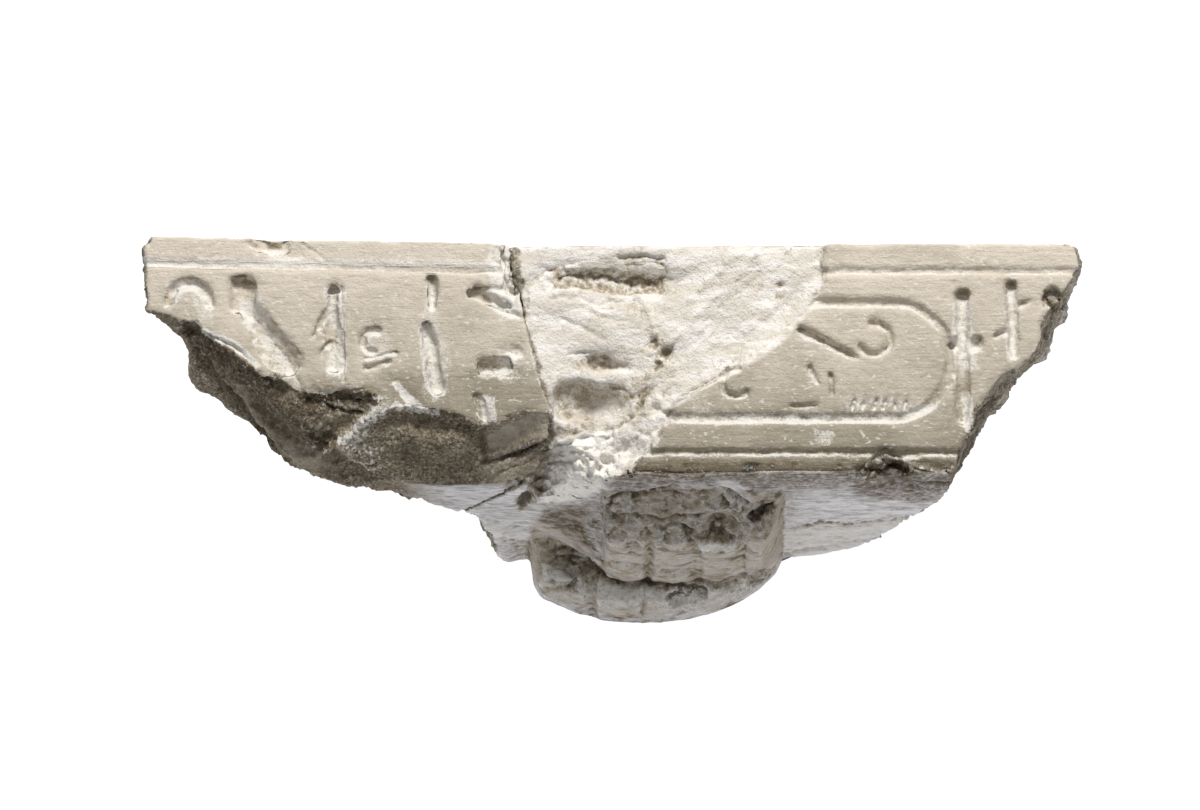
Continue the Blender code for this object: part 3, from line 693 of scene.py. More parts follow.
class Skin:
    """The surface of a fragment while it is being worked."""

    def __init__(self, mesh: bpy.types.Mesh, slab: Slab, grain: Grain) -> None:
        """Reads the mesh.

        Args:
            mesh: The close mesh over the fragment.
            slab: The modelling frame.
            grain: The noise that it is worked with.
        """
        self.mesh = mesh
        self.slab = slab
        self.grain = grain
        self.count = len(mesh.vertices)
        flat = np.empty(self.count * 3)
        mesh.vertices.foreach_get("co", flat)
        self.points = flat.reshape(-1, 3) - np.array(slab.origin())
        ends = np.empty(len(mesh.edges) * 2, np.int64)
        mesh.edges.foreach_get("vertices", ends)
        self.ends = ends.reshape(-1, 2)
        self.links = np.bincount(ends, minlength=self.count)
        self.normals = np.empty((self.count, 3))
        self.refresh()

    def refresh(self) -> None:
        """Writes the points back to the mesh and reads its normals and pixels again."""
        place = self.points + np.array(self.slab.origin())
        self.mesh.vertices.foreach_set("co", place.astype(np.float32).ravel())
        self.mesh.update()
        flat = np.empty(self.count * 3)
        self.mesh.vertex_normals.foreach_get("vector", flat)
        self.normals = flat.reshape(-1, 3)
        self.pixels = self.slab.seen(self.points)

    def averaged(self, values: np.ndarray) -> np.ndarray:
        """The mean of each point's neighbours.

        Args:
            values: One row for each point.

        Returns:
            One row for each point.
        """
        first, second = self.ends[:, 0], self.ends[:, 1]
        columns = []
        for column in np.atleast_2d(values.T):
            total = np.bincount(first, column[second], self.count)
            total += np.bincount(second, column[first], self.count)
            columns.append(total / self.links)
        return np.stack(columns, axis=1).reshape(values.shape)

    def relax(self, share: np.ndarray, rounds: int) -> None:
        """Draws points towards the mean of their neighbours.

        Args:
            share: How far each point gives, from 0 to 1.
            rounds: How often.
        """
        give = 0.5 * share[:, None]
        for _ in range(rounds):
            self.points += (self.averaged(self.points) - self.points) * give
        self.refresh()

    def smoothed(self, values: np.ndarray, rounds: int) -> np.ndarray:
        """Values evened out over the surface.

        Args:
            values: One value for each point.
            rounds: How often.

        Returns:
            The evened values.
        """
        for _ in range(rounds):
            values = 0.5 * (values + self.averaged(values))
        return values

    def sink(self, depth: np.ndarray) -> None:
        """Moves points into the stone.

        Args:
            depth: How far, in millimetres.
        """
        self.points -= self.normals * (depth * MM)[:, None]
        self.refresh()

    def shaped(self, share: np.ndarray, pattern: Callable[[np.ndarray], np.ndarray]) -> np.ndarray:
        """A pattern, worked out only where a part of the surface wants it.

        Args:
            share: How much of it each point takes.
            pattern: Gives a value for each of some places.

        Returns:
            The pattern times the share, for each point.
        """
        values = np.zeros(self.count)
        near = share > 0.01
        values[near] = pattern(self.points[near]) * share[near]
        return values

    def drift(self, share: np.ndarray, size: float, layers: int, salts: tuple[int, int]) -> np.ndarray:
        """Noise in two parts, which shifts places in a plane.

        Args:
            share: How much of it each point takes.
            size: The size of the coarsest lumps.
            layers: How many sizes there are.
            salts: Tell the two parts from each other and from other layers.

        Returns:
            Two values for each point.
        """
        parts = []
        for salt in salts:
            parts.append(self.shaped(share, lambda at, salt=salt: self.grain.layered(at, size, layers, salt)))
        return np.stack(parts, axis=1)

    def bulge(self, rounds: int) -> np.ndarray:
        """How far each point stands out of its surroundings.

        Args:
            rounds: How wide the surroundings are.

        Returns:
            The height in millimetres, negative in a hollow.
        """
        even = self.points.copy()
        for _ in range(rounds):
            even = 0.5 * (even + self.averaged(even))
        return np.einsum("ij,ij->i", self.points - even, self.normals) / MM

    def keep(self, name: str, values: np.ndarray) -> None:
        """Stores a mask in the mesh."""
        self.mesh.attributes.new(name, "FLOAT", "POINT").data.foreach_set("value", values.astype(np.float32))


@dataclass
class Fragment:
    """One fragment of the slab.

    Args:
        node: The CAD node that it replaces, which also names the piece.
        slab: The modelling frame.
        finish: Its stone.
        marks: The forms cut into it.
        stains_and_shading: The covers laid on it, among them patches of painted shade and painted light.
        grits: The patches that are rougher or smoother than the rest.
        outline: The outline of its carved face in pixels.
        pale: The outline of the pale break in pixels, or nothing.
        rubbed: Outlines in which the carving is worn soft.
        faint: Outlines in which it is shallower, and by how much.
        voxel: The spacing of the close mesh.
        give: How far softening may move a point, in millimetres.
        most: The most triangles that it may have.
    """

    node: str
    slab: Slab
    finish: StoneFinish
    marks: tuple[Mark, ...] = ()
    stains_and_shading: tuple[CoverPatch, ...] = ()
    grits: tuple[Grit, ...] = ()
    outline: Points = ()
    pale: Points = ()
    rubbed: tuple[Points, ...] = ()
    faint: tuple[tuple[Points, float], ...] = ()
    voxel: float = ROUND_SPACING
    give: float = 0.25
    most: int = 195_000

    def build(self) -> bpy.types.Object:
        """Makes the fragment in its CAD node's place.

        Returns:
            The dressed piece.
        """
        piece = self.close_mesh()
        skin = Skin(piece.data, self.slab, Grain(11))
        zones = self.zones(skin)
        self.soften(skin, zones)
        self.cut_marks(skin, zones)
        self.roughen(skin, zones)
        self.hold_in_box(skin)
        self.cover(skin, zones)
        self.thin_out(piece, skin)
        piece.data.materials.clear()
        piece.data.materials.append(self.finish.build())
        piece.data.shade_smooth()
        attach(piece, "root")
        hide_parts(self.node)
        LOG.info("%s: %d triangles", piece.name, sum(len(face.vertices) - 2 for face in piece.data.polygons))
        return piece

    def rounds(self, base: int) -> int:
        """How many rounds of evening reach as far on this mesh as base rounds on one of ROUND_SPACING."""
        return max(1, round(base * (ROUND_SPACING / self.voxel) ** 2))

    def close_mesh(self) -> bpy.types.Object:
        """Lays a close mesh over the CAD solid.

        Returns:
            The new piece.
        """
        work = bmesh.new()
        work.from_mesh(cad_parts[self.node].data)
        bmesh.ops.remove_doubles(work, verts=work.verts, dist=WELD)
        start = bpy.data.meshes.new(self.node + "_start")
        work.to_mesh(start)
        work.free()
        source = bpy.data.objects.new(self.node + "_start", start)
        bpy.context.scene.collection.objects.link(source)
        layer = source.modifiers.new("close", "REMESH")
        layer.mode = "VOXEL"
        layer.voxel_size = self.voxel
        view = bpy.context.evaluated_depsgraph_get()
        mesh = bpy.data.meshes.new_from_object(source.evaluated_get(view))
        bpy.data.objects.remove(source)
        piece = bpy.data.objects.new(self.node.replace("fragment", "stone"), mesh)
        bpy.context.scene.collection.objects.link(piece)
        return piece

    def zones(self, skin: Skin) -> dict[str, np.ndarray]:
        """Tells the parts of the surface apart.

        Args:
            skin: The surface, before it is worked.

        Returns:
            A share from 0 to 1 for each part, by name.
        """
        _, y, z = (skin.points / MM).T
        side = skin.normals
        height = self.slab.thickness / MM
        deep = self.slab.depth / MM
        front = eased(side[:, 2], 0.2, 0.6)
        flat_face = eased(z, -0.35, -0.15) * front
        carved = eased(z, -1.6, -1.35) * front
        top = eased(y, height - 0.5, height - 0.2) * eased(side[:, 1], 0.5, 0.8)
        under = eased(-side[:, 1], 0.6, 0.85) * eased(y, -0.6, -0.25) * eased(-y, -0.5, -0.25)
        hand = eased(-y, 0.25, 0.6) * eased(z, -deep + 1, -deep + 3)
        rest = eased(-side[:, 2], 0.9, 0.99) * eased(-z, deep - 0.15, deep - 0.05)
        ragged = [skin.grain.layered(skin.points, 0.003, 4, salt) for salt in (90, 95)]
        ragged = skin.pixels + 7 * np.stack(ragged, axis=1)
        pale = np.zeros(skin.count)
        if self.pale:
            pale = inside(ragged, self.pale, 3) * eased(z, -30, -26) * eased(side[:, 2], 0.0, 0.3)
        face = np.maximum(flat_face, carved * inside(skin.pixels, self.outline, 4))
        face = face * (1 - pale * eased(-z, 0.1, 0.3))
        arris = eased(y, -1.2, -0.4) * eased(-y, -2.6, -1.4) * eased(z, -8, -6) * (1 - pale)
        arris *= eased(side[:, 2] - side[:, 1], 0.3, 0.7)
        dressed = np.clip(face + top + under + arris, 0, 1)
        towards = side[:, 2] * math.cos(self.slab.tilt) - side[:, 1] * math.sin(self.slab.tilt)
        seen = eased(towards, -0.1, 0.15)
        return {
            "face": face, "top": top, "under": under, "hand": hand, "rest": rest, "pale": pale,
            "dressed": dressed, "seen": seen, "broken": np.clip(1 - dressed - hand - rest, 0, 1),
        }

    def soften(self, skin: Skin, zones: dict[str, np.ndarray]) -> None:
        """Takes the facets out of the breaks and the hardness out of the carving.

        Args:
            skin: The surface.
            zones: Its parts.
        """
        before = skin.points.copy()
        give = skin.smoothed(np.clip(zones["broken"] + 0.12 * zones["hand"], 0, 1), 2)
        skin.relax(give * (1 - zones["rest"]), self.rounds(40))
        moved = skin.points - before
        far = np.linalg.norm(moved, axis=1) / MM
        skin.points = before + moved * np.minimum(1, self.give / np.maximum(far, 1e-6))[:, None]
        skin.relax(1 - zones["rest"], 1)
        cut = eased(-skin.points[:, 2] / MM, 0.15, 0.5) * zones["face"]
        worn = sum((inside(skin.pixels, at, 10) for at in self.rubbed), np.zeros(skin.count))
        faint = sum((less * inside(skin.pixels, at, 6) for at, less in self.faint), np.zeros(skin.count))
        skin.points[:, 2] *= 1 + cut * (0.6 + 0.5 * worn - faint)
        near = eased(skin.smoothed(cut * worn, self.rounds(10)), 0.04, 0.3)
        skin.relax(near * 0.9, self.rounds(4))
        wobble = skin.drift(zones["face"], 0.004, 2, (60, 70))
        loose = zones["face"] * (0.4 + 0.6 * worn)
        frayed = []
        for salt in (64, 74):
            frayed.append(skin.shaped(loose, lambda at, salt=salt: skin.grain.wave(at, 0.0014, salt)))
        skin.points[:, :2] += (wobble * 0.22 + np.stack(frayed, axis=1) * 0.16) * MM
        skin.refresh()

    def cut_marks(self, skin: Skin, zones: dict[str, np.ndarray]) -> None:
        """Cuts the placed forms.

        Args:
            skin: The surface.
            zones: Its parts.
        """
        stir = skin.drift(zones["seen"], 0.0022, 3, (20, 30))
        depth = {form: np.zeros(skin.count) for form in Form}
        for mark in self.marks:
            depth[mark.form] += mark.cut(skin.pixels, stir)
        free = 1 - zones["rest"]
        skin.points[:, 2] += depth.pop(Form.LIFT) * MM * zones["seen"]
        swollen = depth.pop(Form.SWELL)
        skin.sink((swollen + sum(depth.values()) * zones["seen"]) * free)
        skin.relax(0.6 * (1 - zones["face"]), 2)

    def roughen(self, skin: Skin, zones: dict[str, np.ndarray]) -> None:
        """Cuts grain, pits and wear.

        Args:
            skin: The surface.
            zones: Its parts.
        """
        grain = skin.grain
        calm = np.ones(skin.count)
        for grit in self.grits:
            calm *= 1 - grit.calm * inside(skin.pixels, grit.at, grit.soft) * zones["seen"]
        old = zones["broken"] * (1 - 0.85 * zones["pale"]) * calm
        depth = skin.shaped(old, lambda at: self.weathered(grain, at))
        depth += skin.shaped(zones["pale"] * calm, lambda at: self.fresh(grain, at))
        behind = zones["broken"] * eased(-skin.points[:, 2] / MM, 6, 16) * (1 - 0.7 * zones["seen"])
        behind *= eased(self.apart(skin, behind > 0.01), 0.8, 5)
        depth += skin.shaped(behind, lambda at: self.rugged(grain, at))
        front = zones["hand"] * eased(skin.normals[:, 2], 0.1, 0.5)
        depth += skin.shaped(front, lambda at: self.knocked(grain, at))
        depth += skin.shaped(zones["under"], lambda at: self.lined(grain, at))
        depth += skin.shaped(zones["dressed"], lambda at: self.worn(grain, at))
        floor = eased(-skin.points[:, 2] / MM, 0.3, 0.8) * zones["face"]
        depth += skin.shaped(floor, lambda at: self.picked(grain, at))
        depth += zones["face"] * LOWER_WEAR * np.clip(1 - skin.points[:, 1] / MM / LOWER_BAND, 0, 1) ** 2
        for index, grit in enumerate(self.grits):
            place = inside(skin.pixels, grit.at, grit.soft) * zones["seen"]
            grains = skin.shaped(place, lambda at: self.grainy(grain, at, grit.size, 80 + index))
            depth += grit.height * grains
        skin.sink(depth * (1 - zones["rest"]))
        proud = skin.bulge(self.rounds(8))
        chipped = eased(grain.layered(skin.points, 0.0035, 2, 32), -0.1, 0.6)
        skin.sink(np.clip(proud, 0, 0.25) * (0.1 + 1.1 * chipped) * (1 - zones["rest"]))

    def apart(self, skin: Skin, wanted: np.ndarray) -> np.ndarray:
        """How far points lie from the other fragment.

        Args:
            skin: The surface.
            wanted: Which points are asked for.

        Returns:
            The distance in millimetres, and the reach for points further off or not asked for.
        """
        reach = 6.0
        far = np.full(skin.count, reach)
        origin = self.slab.origin()
        for name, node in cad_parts.items():
            if name == self.node:
                continue
            corners = [vertex.co for vertex in node.data.vertices]
            tree = BVHTree.FromPolygons(corners, [tuple(face.vertices) for face in node.data.polygons])
            for index in np.nonzero(wanted)[0]:
                gap = tree.find_nearest(Vector(skin.points[index]) + origin, reach * MM)[3]
                if gap is not None:
                    far[index] = gap / MM
        return far

    @staticmethod
    def weathered(grain: Grain, at: np.ndarray) -> np.ndarray:
        """The depth of an old break: facets, lumps, teeth and grain, in millimetres."""
        bent = at + 0.0006 * np.stack([grain.wave(at, 0.003, salt) for salt in (2, 3, 4)], axis=1)
        lumps = grain.layered(at, 0.006, 3, 1) * 0.4 + grain.facets(bent, 0.0052, 6) * 0.4
        teeth = grain.facets(bent, 0.0019, 5) * 0.32 + np.abs(grain.layered(at, 0.0021, 3, 5)) * 0.45
        coarse = eased(grain.wave(at, 0.013, 9), -0.3, 0.3)
        fine = 0.36 * grain.wave(at, 0.0012, 12) + 0.22 * grain.wave(at, 0.0007, 13)
        return lumps + teeth * (0.3 + 0.7 * coarse) + fine - 0.2

    @staticmethod
    def rugged(grain: Grain, at: np.ndarray) -> np.ndarray:
        """The extra depth of the breaks behind: wide facets and steps, in millimetres."""
        bent = at + 0.002 * np.stack([grain.wave(at, 0.009, salt) for salt in (6, 7, 8)], axis=1)
        steps = 0.9 * grain.facets(bent, 0.013, 36) + 0.45 * grain.facets(bent, 0.006, 37)
        return np.clip(0.8 + steps + 0.5 * grain.layered(at, 0.01, 3, 38), 0, 2.6)

    @staticmethod
    def fresh(grain: Grain, at: np.ndarray) -> np.ndarray:
        """The depth of a pale break: wide facets drawn out along a slant, and fine chips, in millimetres."""
        bent = at + 0.0008 * np.stack([grain.wave(at, 0.004, salt) for salt in (2, 3, 4)], axis=1)
        along = (bent[:, 0] + bent[:, 1]) * 0.7071
        drawn = np.stack([along * 0.35, (bent[:, 0] - bent[:, 1]) * 0.7071, bent[:, 2]], axis=1)
        wide = 0.13 * grain.facets(drawn, 0.0042, 15) + 0.1 * grain.layered(drawn, 0.0024, 3, 14)
        return wide + 0.07 * grain.facets(drawn, 0.0011, 16) + 0.05 * grain.wave(at, 0.0007, 17)

    @staticmethod
    def knocked(grain: Grain, at: np.ndarray) -> np.ndarray:
        """The depth of the hands' knocked front: chips, lines along the stone and grain, in millimetres."""
        chips = 0.8 * np.clip(grain.layered(at, 0.0055, 4, 18), 0, 1) + 0.42 * grain.facets(at, 0.0026, 24)
        lined = 0.1 * grain.layered(at * np.array([0.4, 1, 1]), 0.0022, 3, 21)
        return chips + lined + 0.26 * grain.wave(at, 0.001, 19)

    @staticmethod
    def lined(grain: Grain, at: np.ndarray) -> np.ndarray:
        """The depth of the lines along the underside, in millimetres."""
        return 0.32 * grain.layered(at * np.array([0.2, 1, 1]), 0.0016, 4, 21)

    @staticmethod
    def picked(grain: Grain, at: np.ndarray) -> np.ndarray:
        """The depth of the picked floor of the carving, in millimetres."""
        return 0.2 * grain.layered(at, 0.0016, 3, 26) + 0.16 * grain.facets(at, 0.0018, 27)

    @staticmethod
    def worn(grain: Grain, at: np.ndarray) -> np.ndarray:
        """The depth of wear and pits in dressed stone, in millimetres."""
        pitted = 0.16 * eased(grain.wave(at, 0.012, 25), -0.1, 0.5)
        return 0.05 * grain.layered(at, 0.007, 3, 22) + pitted * eased(grain.pits(at, 0.0021, 28), 0.1, 0.8)

    @staticmethod
    def grainy(grain: Grain, at: np.ndarray, size: float, salt: int) -> np.ndarray:
        """The depth of coarse grains, as a share of their height."""
        return grain.layered(at, size, 3, salt) + 1.4 * np.abs(grain.wave(at, size, salt + 40)) - 0.4

    def hold_in_box(self, skin: Skin) -> None:
        """Keeps the surface in its CAD node's box.

        Args:
            skin: The surface.
        """
        low, high = (np.array(corner) - np.array(self.slab.origin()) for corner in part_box(self.node))
        skin.points = np.clip(skin.points, low, high)
        skin.refresh()

    def cover(self, skin: Skin, zones: dict[str, np.ndarray]) -> None:
        """Works out what lies where, and where shade and light are painted, and stores it as masks.

        Args:
            skin: The surface.
            zones: Its parts.
        """
        grain, points = skin.grain, skin.points
        y, z = points[:, 1] / MM, points[:, 2] / MM
        height = self.slab.thickness / MM
        proud = skin.bulge(self.rounds(6))
        wide = skin.bulge(self.rounds(30))
        patch = grain.layered(points, 0.012, 4, 40)
        face = zones["face"]
        sunk = eased(-z, 0.25, 0.7) * face
        masks = {cover: np.zeros(skin.count) for cover in Cover}
        masks[Cover.DRESSED] = np.clip(zones["dressed"] + 0.4 * zones["hand"], 0, 1)
        masks[Cover.FRESH] = zones["pale"].copy()
        fall = np.clip(1 - y / height, 0, 1)
        # Darker towards the bottom of the face.
        masks[Cover.TONE] = face * (0.15 + 0.52 * fall + 0.25 * fall**3) + 0.5 * (1 - face) + 0.2 * patch
        # The greyer stone underneath, and painted bluish floor light on the hands where they face down.
        below = eased(-skin.normals[:, 1], 0.3, 0.9)
        masks[Cover.COOL_AND_FLOOR_LIGHT] = np.clip(zones["under"] + 0.3 * below * zones["hand"], 0, 1) * 0.85
        rough = zones["broken"] * (1 - zones["pale"])
        spots = grain.layered(points, 0.0032, 3, 44)
        low_side = np.clip(zones["dressed"] - face - zones["top"], 0, 1)
        masks[Cover.GRIME_AND_SHADE] = (0.3 + 0.3 * patch + 0.35 * spots) * rough
        masks[Cover.GRIME_AND_SHADE] += (0.45 * patch + 0.6 * spots) * zones["hand"]
        # Painted shade on the underside and lower sides beneath the face's lower edge, fading towards the
        # back.
        masks[Cover.GRIME_AND_SHADE] += 0.65 * eased(18 + z, 0, 20) * low_side
        masks[Cover.GRIME_AND_SHADE] += (0.42 + 0.5 * spots) * eased(-y, -4.5, -0.5) * face
        masks[Cover.SOIL_AND_SHADE] += (0.14 + 0.4 * spots) * eased(-y, -4.5, -0.5) * face
        ingrained = (0.27 + 0.35 * patch + 0.65 * spots) * zones["hand"]
        masks[Cover.SOIL_AND_SHADE] += (0.14 + 0.2 * spots) * rough + ingrained
        masks[Cover.SOIL_AND_SHADE] += (0.05 + 0.1 * patch) * zones["under"]
        # Painted shade in hollows and painted light on ridges, over the dirt in the hollows.
        masks[Cover.SOIL_AND_SHADE] += eased(-proud, 0.01, 0.14) * (0.35 - 0.2 * sunk) + eased(-wide, 0.1, 0.8) * 0.2
        masks[Cover.SOIL_AND_SHADE] -= 0.3 * eased(proud, 0.02, 0.12) + 0.3 * sunk
        lean = skin.normals[:, 1]
        cut = eased(-z, 0.1, 0.3) * face
        # Painted shade on walls of the carving that face away from the key.
        masks[Cover.SOIL_AND_SHADE] += (0.68 + 0.5 * spots) * eased(-lean, 0.12, 0.45) * cut
        masks[Cover.SOIL_AND_SHADE] *= 1 - 0.55 * zones["pale"]
        edge = eased(y, 1.5, 3)
        # Powder on the carving's floor, and painted light on ridges of the face, the breaks and the hands and
        # on walls of the carving that face the key.
        masks[Cover.DUST_AND_LIGHT] = (0.22 + 0.4 * spots) * sunk + 0.25 * eased(proud, 0.03, 0.14) * face * edge
        masks[Cover.DUST_AND_LIGHT] += 0.42 * eased(lean, 0.2, 0.5) * cut
        masks[Cover.DUST_AND_LIGHT] += (0.36 * rough + 0.3 * zones["hand"]) * eased(proud, 0.03, 0.14)
        masks[Cover.DUST_AND_LIGHT] += 0.24 * zones["hand"] * eased(skin.normals[:, 2], 0.2, 0.7)
        masks[Cover.DUST_AND_LIGHT] += (0.2 + 0.4 * spots) * zones["under"] * eased(-z, 10, 30)
        stir = skin.drift(zones["seen"], 0.004, 3, (50, 55))
        # Each patch lays dirt or colour, or painted shade or painted light.
        for stain in self.stains_and_shading:
            spot = skin.pixels + stir * stain.soft * 0.8
            masks[stain.cover] += stain.amount * inside(spot, stain.at, stain.soft) * zones["seen"]
        for cover, values in masks.items():
            skin.keep(cover.value, np.clip(values, 0, 1))

    def thin_out(self, piece: bpy.types.Object, skin: Skin) -> None:
        """Takes points out of the hidden sides until the piece keeps to its count of triangles.

        Args:
            piece: The piece.
            skin: Its surface.
        """
        count = sum(len(face.vertices) - 2 for face in piece.data.polygons)
        if count <= self.most:
            return
        hidden = 1 - eased(skin.normals[:, 2] - skin.normals[:, 1] * 0.2, -0.2, 0.3)
        group = piece.vertex_groups.new(name="hidden")
        levels = np.round(hidden * THIN_STEPS).astype(int)
        for level in range(THIN_STEPS + 1):
            chosen = np.nonzero(levels == level)[0]
            weight = LEAST_THINNED + (1 - LEAST_THINNED) * level / THIN_STEPS
            if len(chosen):
                group.add(chosen.tolist(), weight, "REPLACE")
        thin = piece.modifiers.new("thin", "DECIMATE")
        thin.decimate_type = "COLLAPSE"
        thin.ratio = self.most / count
        thin.vertex_group = "hidden"
        thin.vertex_group_factor = 1.0
        view = bpy.context.evaluated_depsgraph_get()
        mesh = bpy.data.meshes.new_from_object(piece.evaluated_get(view))
        piece.modifiers.clear()
        piece.vertex_groups.clear()
        piece.data = mesh
        places = np.empty(len(mesh.vertices) * 3)
        mesh.vertices.foreach_get("co", places)
        low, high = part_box(self.node)
        places = np.clip(places.reshape(-1, 3), np.array(low), np.array(high))
        mesh.vertices.foreach_set("co", places.astype(np.float32).ravel())
        mesh.update()


# The outlines of the pale break, of the strip where it meets the face, and of both carved faces, in pixels.
PALE_BREAK: Points = (
    (505, 225), (516, 243), (523, 300), (530, 330), (545, 390), (553, 410), (553, 440), (545, 480), (548, 505),
    (580, 500), (620, 475), (645, 455), (655, 440), (668, 425), (662, 408), (700, 385), (740, 365), (770, 345),
    (800, 315), (815, 297), (822, 280), (825, 247), (825, 225),
)
PALE_BORDER: Points = (
    (660, 404), (700, 381), (740, 361), (770, 341), (800, 311), (815, 293), (821, 299), (804, 319), (774, 349),
    (744, 369), (704, 389), (666, 412),
)
LEFT_FACE: Points = (
    (149, 236), (143, 247), (148, 309), (178, 317), (205, 329), (225, 344), (256, 367), (284, 375), (300, 390),
    (331, 397), (345, 391), (375, 387), (400, 403), (430, 408), (455, 406), (490, 426), (510, 415), (535, 406),
    (561, 411), (553, 395), (545, 390), (530, 330), (523, 300), (516, 236),
)
RIGHT_FACE: Points = (
    (825, 240), (822, 280), (815, 297), (800, 315), (770, 345), (740, 365), (700, 385), (680, 400), (662, 408),
    (668, 425), (655, 440), (645, 455), (640, 476), (950, 476), (956, 467), (962, 444), (973, 426), (974, 409),
    (990, 395), (1001, 384), (1010, 372), (1030, 362), (1040, 339), (1043, 319), (1063, 295), (1068, 284),
    (1077, 271), (1088, 259), (1085, 240),
)

# The left fragment: swellings of its outline, the worn top band and face, the break below and its foot.
LEFT_MARKS: tuple[Mark, ...] = (
    swell(196, 372, 14, 20, 1.3),
    swell(236, 414, 18, 10, 1.0, 40),
    swell(275, 455, 22, 10, 1.3, 40),
    swell(320, 482, 26, 8, 1.0, 10),
    dent(290, 253, 28, 11, 0.7, 0, 0.15),
    crack(((302, 243), (312, 250), (326, 261)), 1.6, 0.25, 0.4),
    pit(257, 250, 4, 4, 0.4),
    crack(((322, 354), (331, 342)), 2.5, 0.6),
    crack(((478, 308), (468, 340), (463, 400)), 1.2, 0.15),
    crack(((470, 293), (488, 303), (520, 316)), 3.0, 0.8),
    crack(((470, 292), (490, 288), (506, 292)), 2.5, 0.6),
    pit(500, 258, 8, 12, 0.5),
    pit(513, 285, 5, 14, 0.6),
    ledge(((203, 331), (228, 341), (243, 350), (258, 369), (276, 380)), 2.0, 13.0, 1.3, 0.6),
    pit(505, 372, 16, 7, 0.5),
    pit(516, 352, 8, 5, 0.5),
    dent(248, 286, 14, 5, 0.6),
    ledge(((254, 292), (255, 315), (272, 336), (289, 356), (304, 388)), 2.0, 9.0, 0.5, 0.4),
    dent(240, 312, 12, 16, 0.35, 0),
    dent(268, 350, 12, 26, 0.4, -38),
    dent(185, 300, 20, 18, 0.25),
    pit(337, 291, 8, 4, 0.7),
    dent(323, 330, 12, 28, 0.4, 4),
    ledge(((311, 326), (333, 338), (314, 357)), 2.0, 7.0, -0.4, 0.4),
    crack(((341, 286), (342, 330), (343, 380)), 2.0, 0.6, 0.4),
    dent(374, 341, 14, 12, 0.35),
    crack(((366, 358), (382, 355), (397, 352)), 2.4, 0.6, 0.4),
    dent(431, 300, 7, 18, 0.4),
    dent(433, 343, 16, 17, 0.6, 20),
    dent(434, 388, 9, 22, 0.5),
    dent(404, 394, 9, 19, 0.7, -42),
    dent(510, 350, 14, 8, 0.8, -12),
    dent(487, 400, 8, 20, 0.5, -10),
    pit(190, 330, 10, 8, 2.2),
    crack(((194, 350), (206, 364), (220, 384), (238, 403), (262, 436), (288, 462)), 3.2, 1.6, 0.5),
    dent(206, 362, 8, 5, 1.0, 40),
    dent(204, 384, 12, 12, -1.0),
    crack(((201, 333), (240, 355), (256, 369), (285, 380)), 3.0, -0.7),
    crack(((238, 362), (262, 385), (290, 410), (318, 432), (345, 456)), 9.0, -0.9),
    crack(((252, 400), (280, 425), (300, 450)), 7.0, 0.7),
    dent(340, 397, 36, 8, 2.0, 6),
    crack(((300, 398), (330, 404), (372, 400)), 1.8, 0.9, 1.2),
    crack(((306, 404), (335, 411), (362, 414)), 2.2, 1.6, 1.2),
    dent(346, 424, 20, 8, 1.4, -30),
    ledge(((332, 440), (354, 420), (376, 400)), 5.0, 18.0, -1.9, 0.8),
    crack(((384, 402), (364, 424), (342, 446)), 9.0, -0.8, 0.8),
    ledge(((336, 440), (352, 455), (368, 470), (390, 478)), 2.0, 14.0, 1.2, 0.8),
    dent(365, 452, 16, 12, -1.2),
    dent(430, 426, 46, 10, 2.2, 8),
    dent(412, 458, 30, 14, 0.7),
    dent(455, 436, 12, 20, -0.8, 20),
    crack(((484, 430), (482, 446), (484, 462)), 2.0, 0.8, 0.8),
    dent(520, 436, 34, 14, 0.9, -16, 0.1),
    ledge(((545, 440), (520, 452), (500, 459), (482, 463)), 1.5, 10.0, -1.2, 0.5),
    crack(((482, 461), (505, 456), (535, 446)), 2.4, 1.3, 0.8),
    crack(((490, 478), (520, 466), (545, 452)), 1.4, 0.5, 1.2),
    crack(((552, 412), (553, 440), (541, 470), (530, 494)), 2.0, -0.7, 0.4),
    pit(513, 486, 10, 7, 1.6, -25),
    crack(((398, 498), (425, 502), (452, 503)), 2.0, 0.7),
    crack(((345, 489), (390, 488), (430, 490)), 1.6, 0.3),
)
LEFT_GRITS: tuple[Grit, ...] = (
    Grit(((255, 385), (300, 400), (345, 436), (345, 450), (300, 436), (262, 405)), 0.34, 0.0013),
    Grit(((200, 338), (240, 352), (250, 372), (225, 372), (205, 356)), 0.24, 0.001),
    Grit(
        ((370, 412), (400, 408), (460, 412), (482, 432), (478, 482), (385, 484), (350, 455)),
        0.34, 0.0008, 0.6,
    ),
    Grit(((342, 400), (388, 404), (392, 478), (345, 474), (335, 440)), 0.3, 0.0007, 0.5),
    Grit(((484, 432), (535, 408), (556, 412), (553, 438), (520, 452), (486, 462)), 0.02, 0.002, 0.85),
    Grit(((480, 462), (545, 448), (550, 470), (530, 498), (480, 496)), 0.08, 0.0015, 0.5),
    Grit(((228, 378), (260, 398), (305, 440), (345, 476), (300, 474), (238, 400)), 0.08, 0.0009, 0.75),
    Grit(
        ((176, 352), (228, 378), (238, 400), (300, 474), (345, 480), (345, 500), (280, 480), (220, 425),
         (170, 390)),
        0.0, 0.002, 0.55,
    ),
    Grit(((300, 394), (380, 392), (376, 408), (306, 410)), 0.35, 0.0008, 0.0),
    Grit(((489, 244), (514, 244), (524, 312), (505, 318), (492, 280)), 0.14, 0.0012),
)
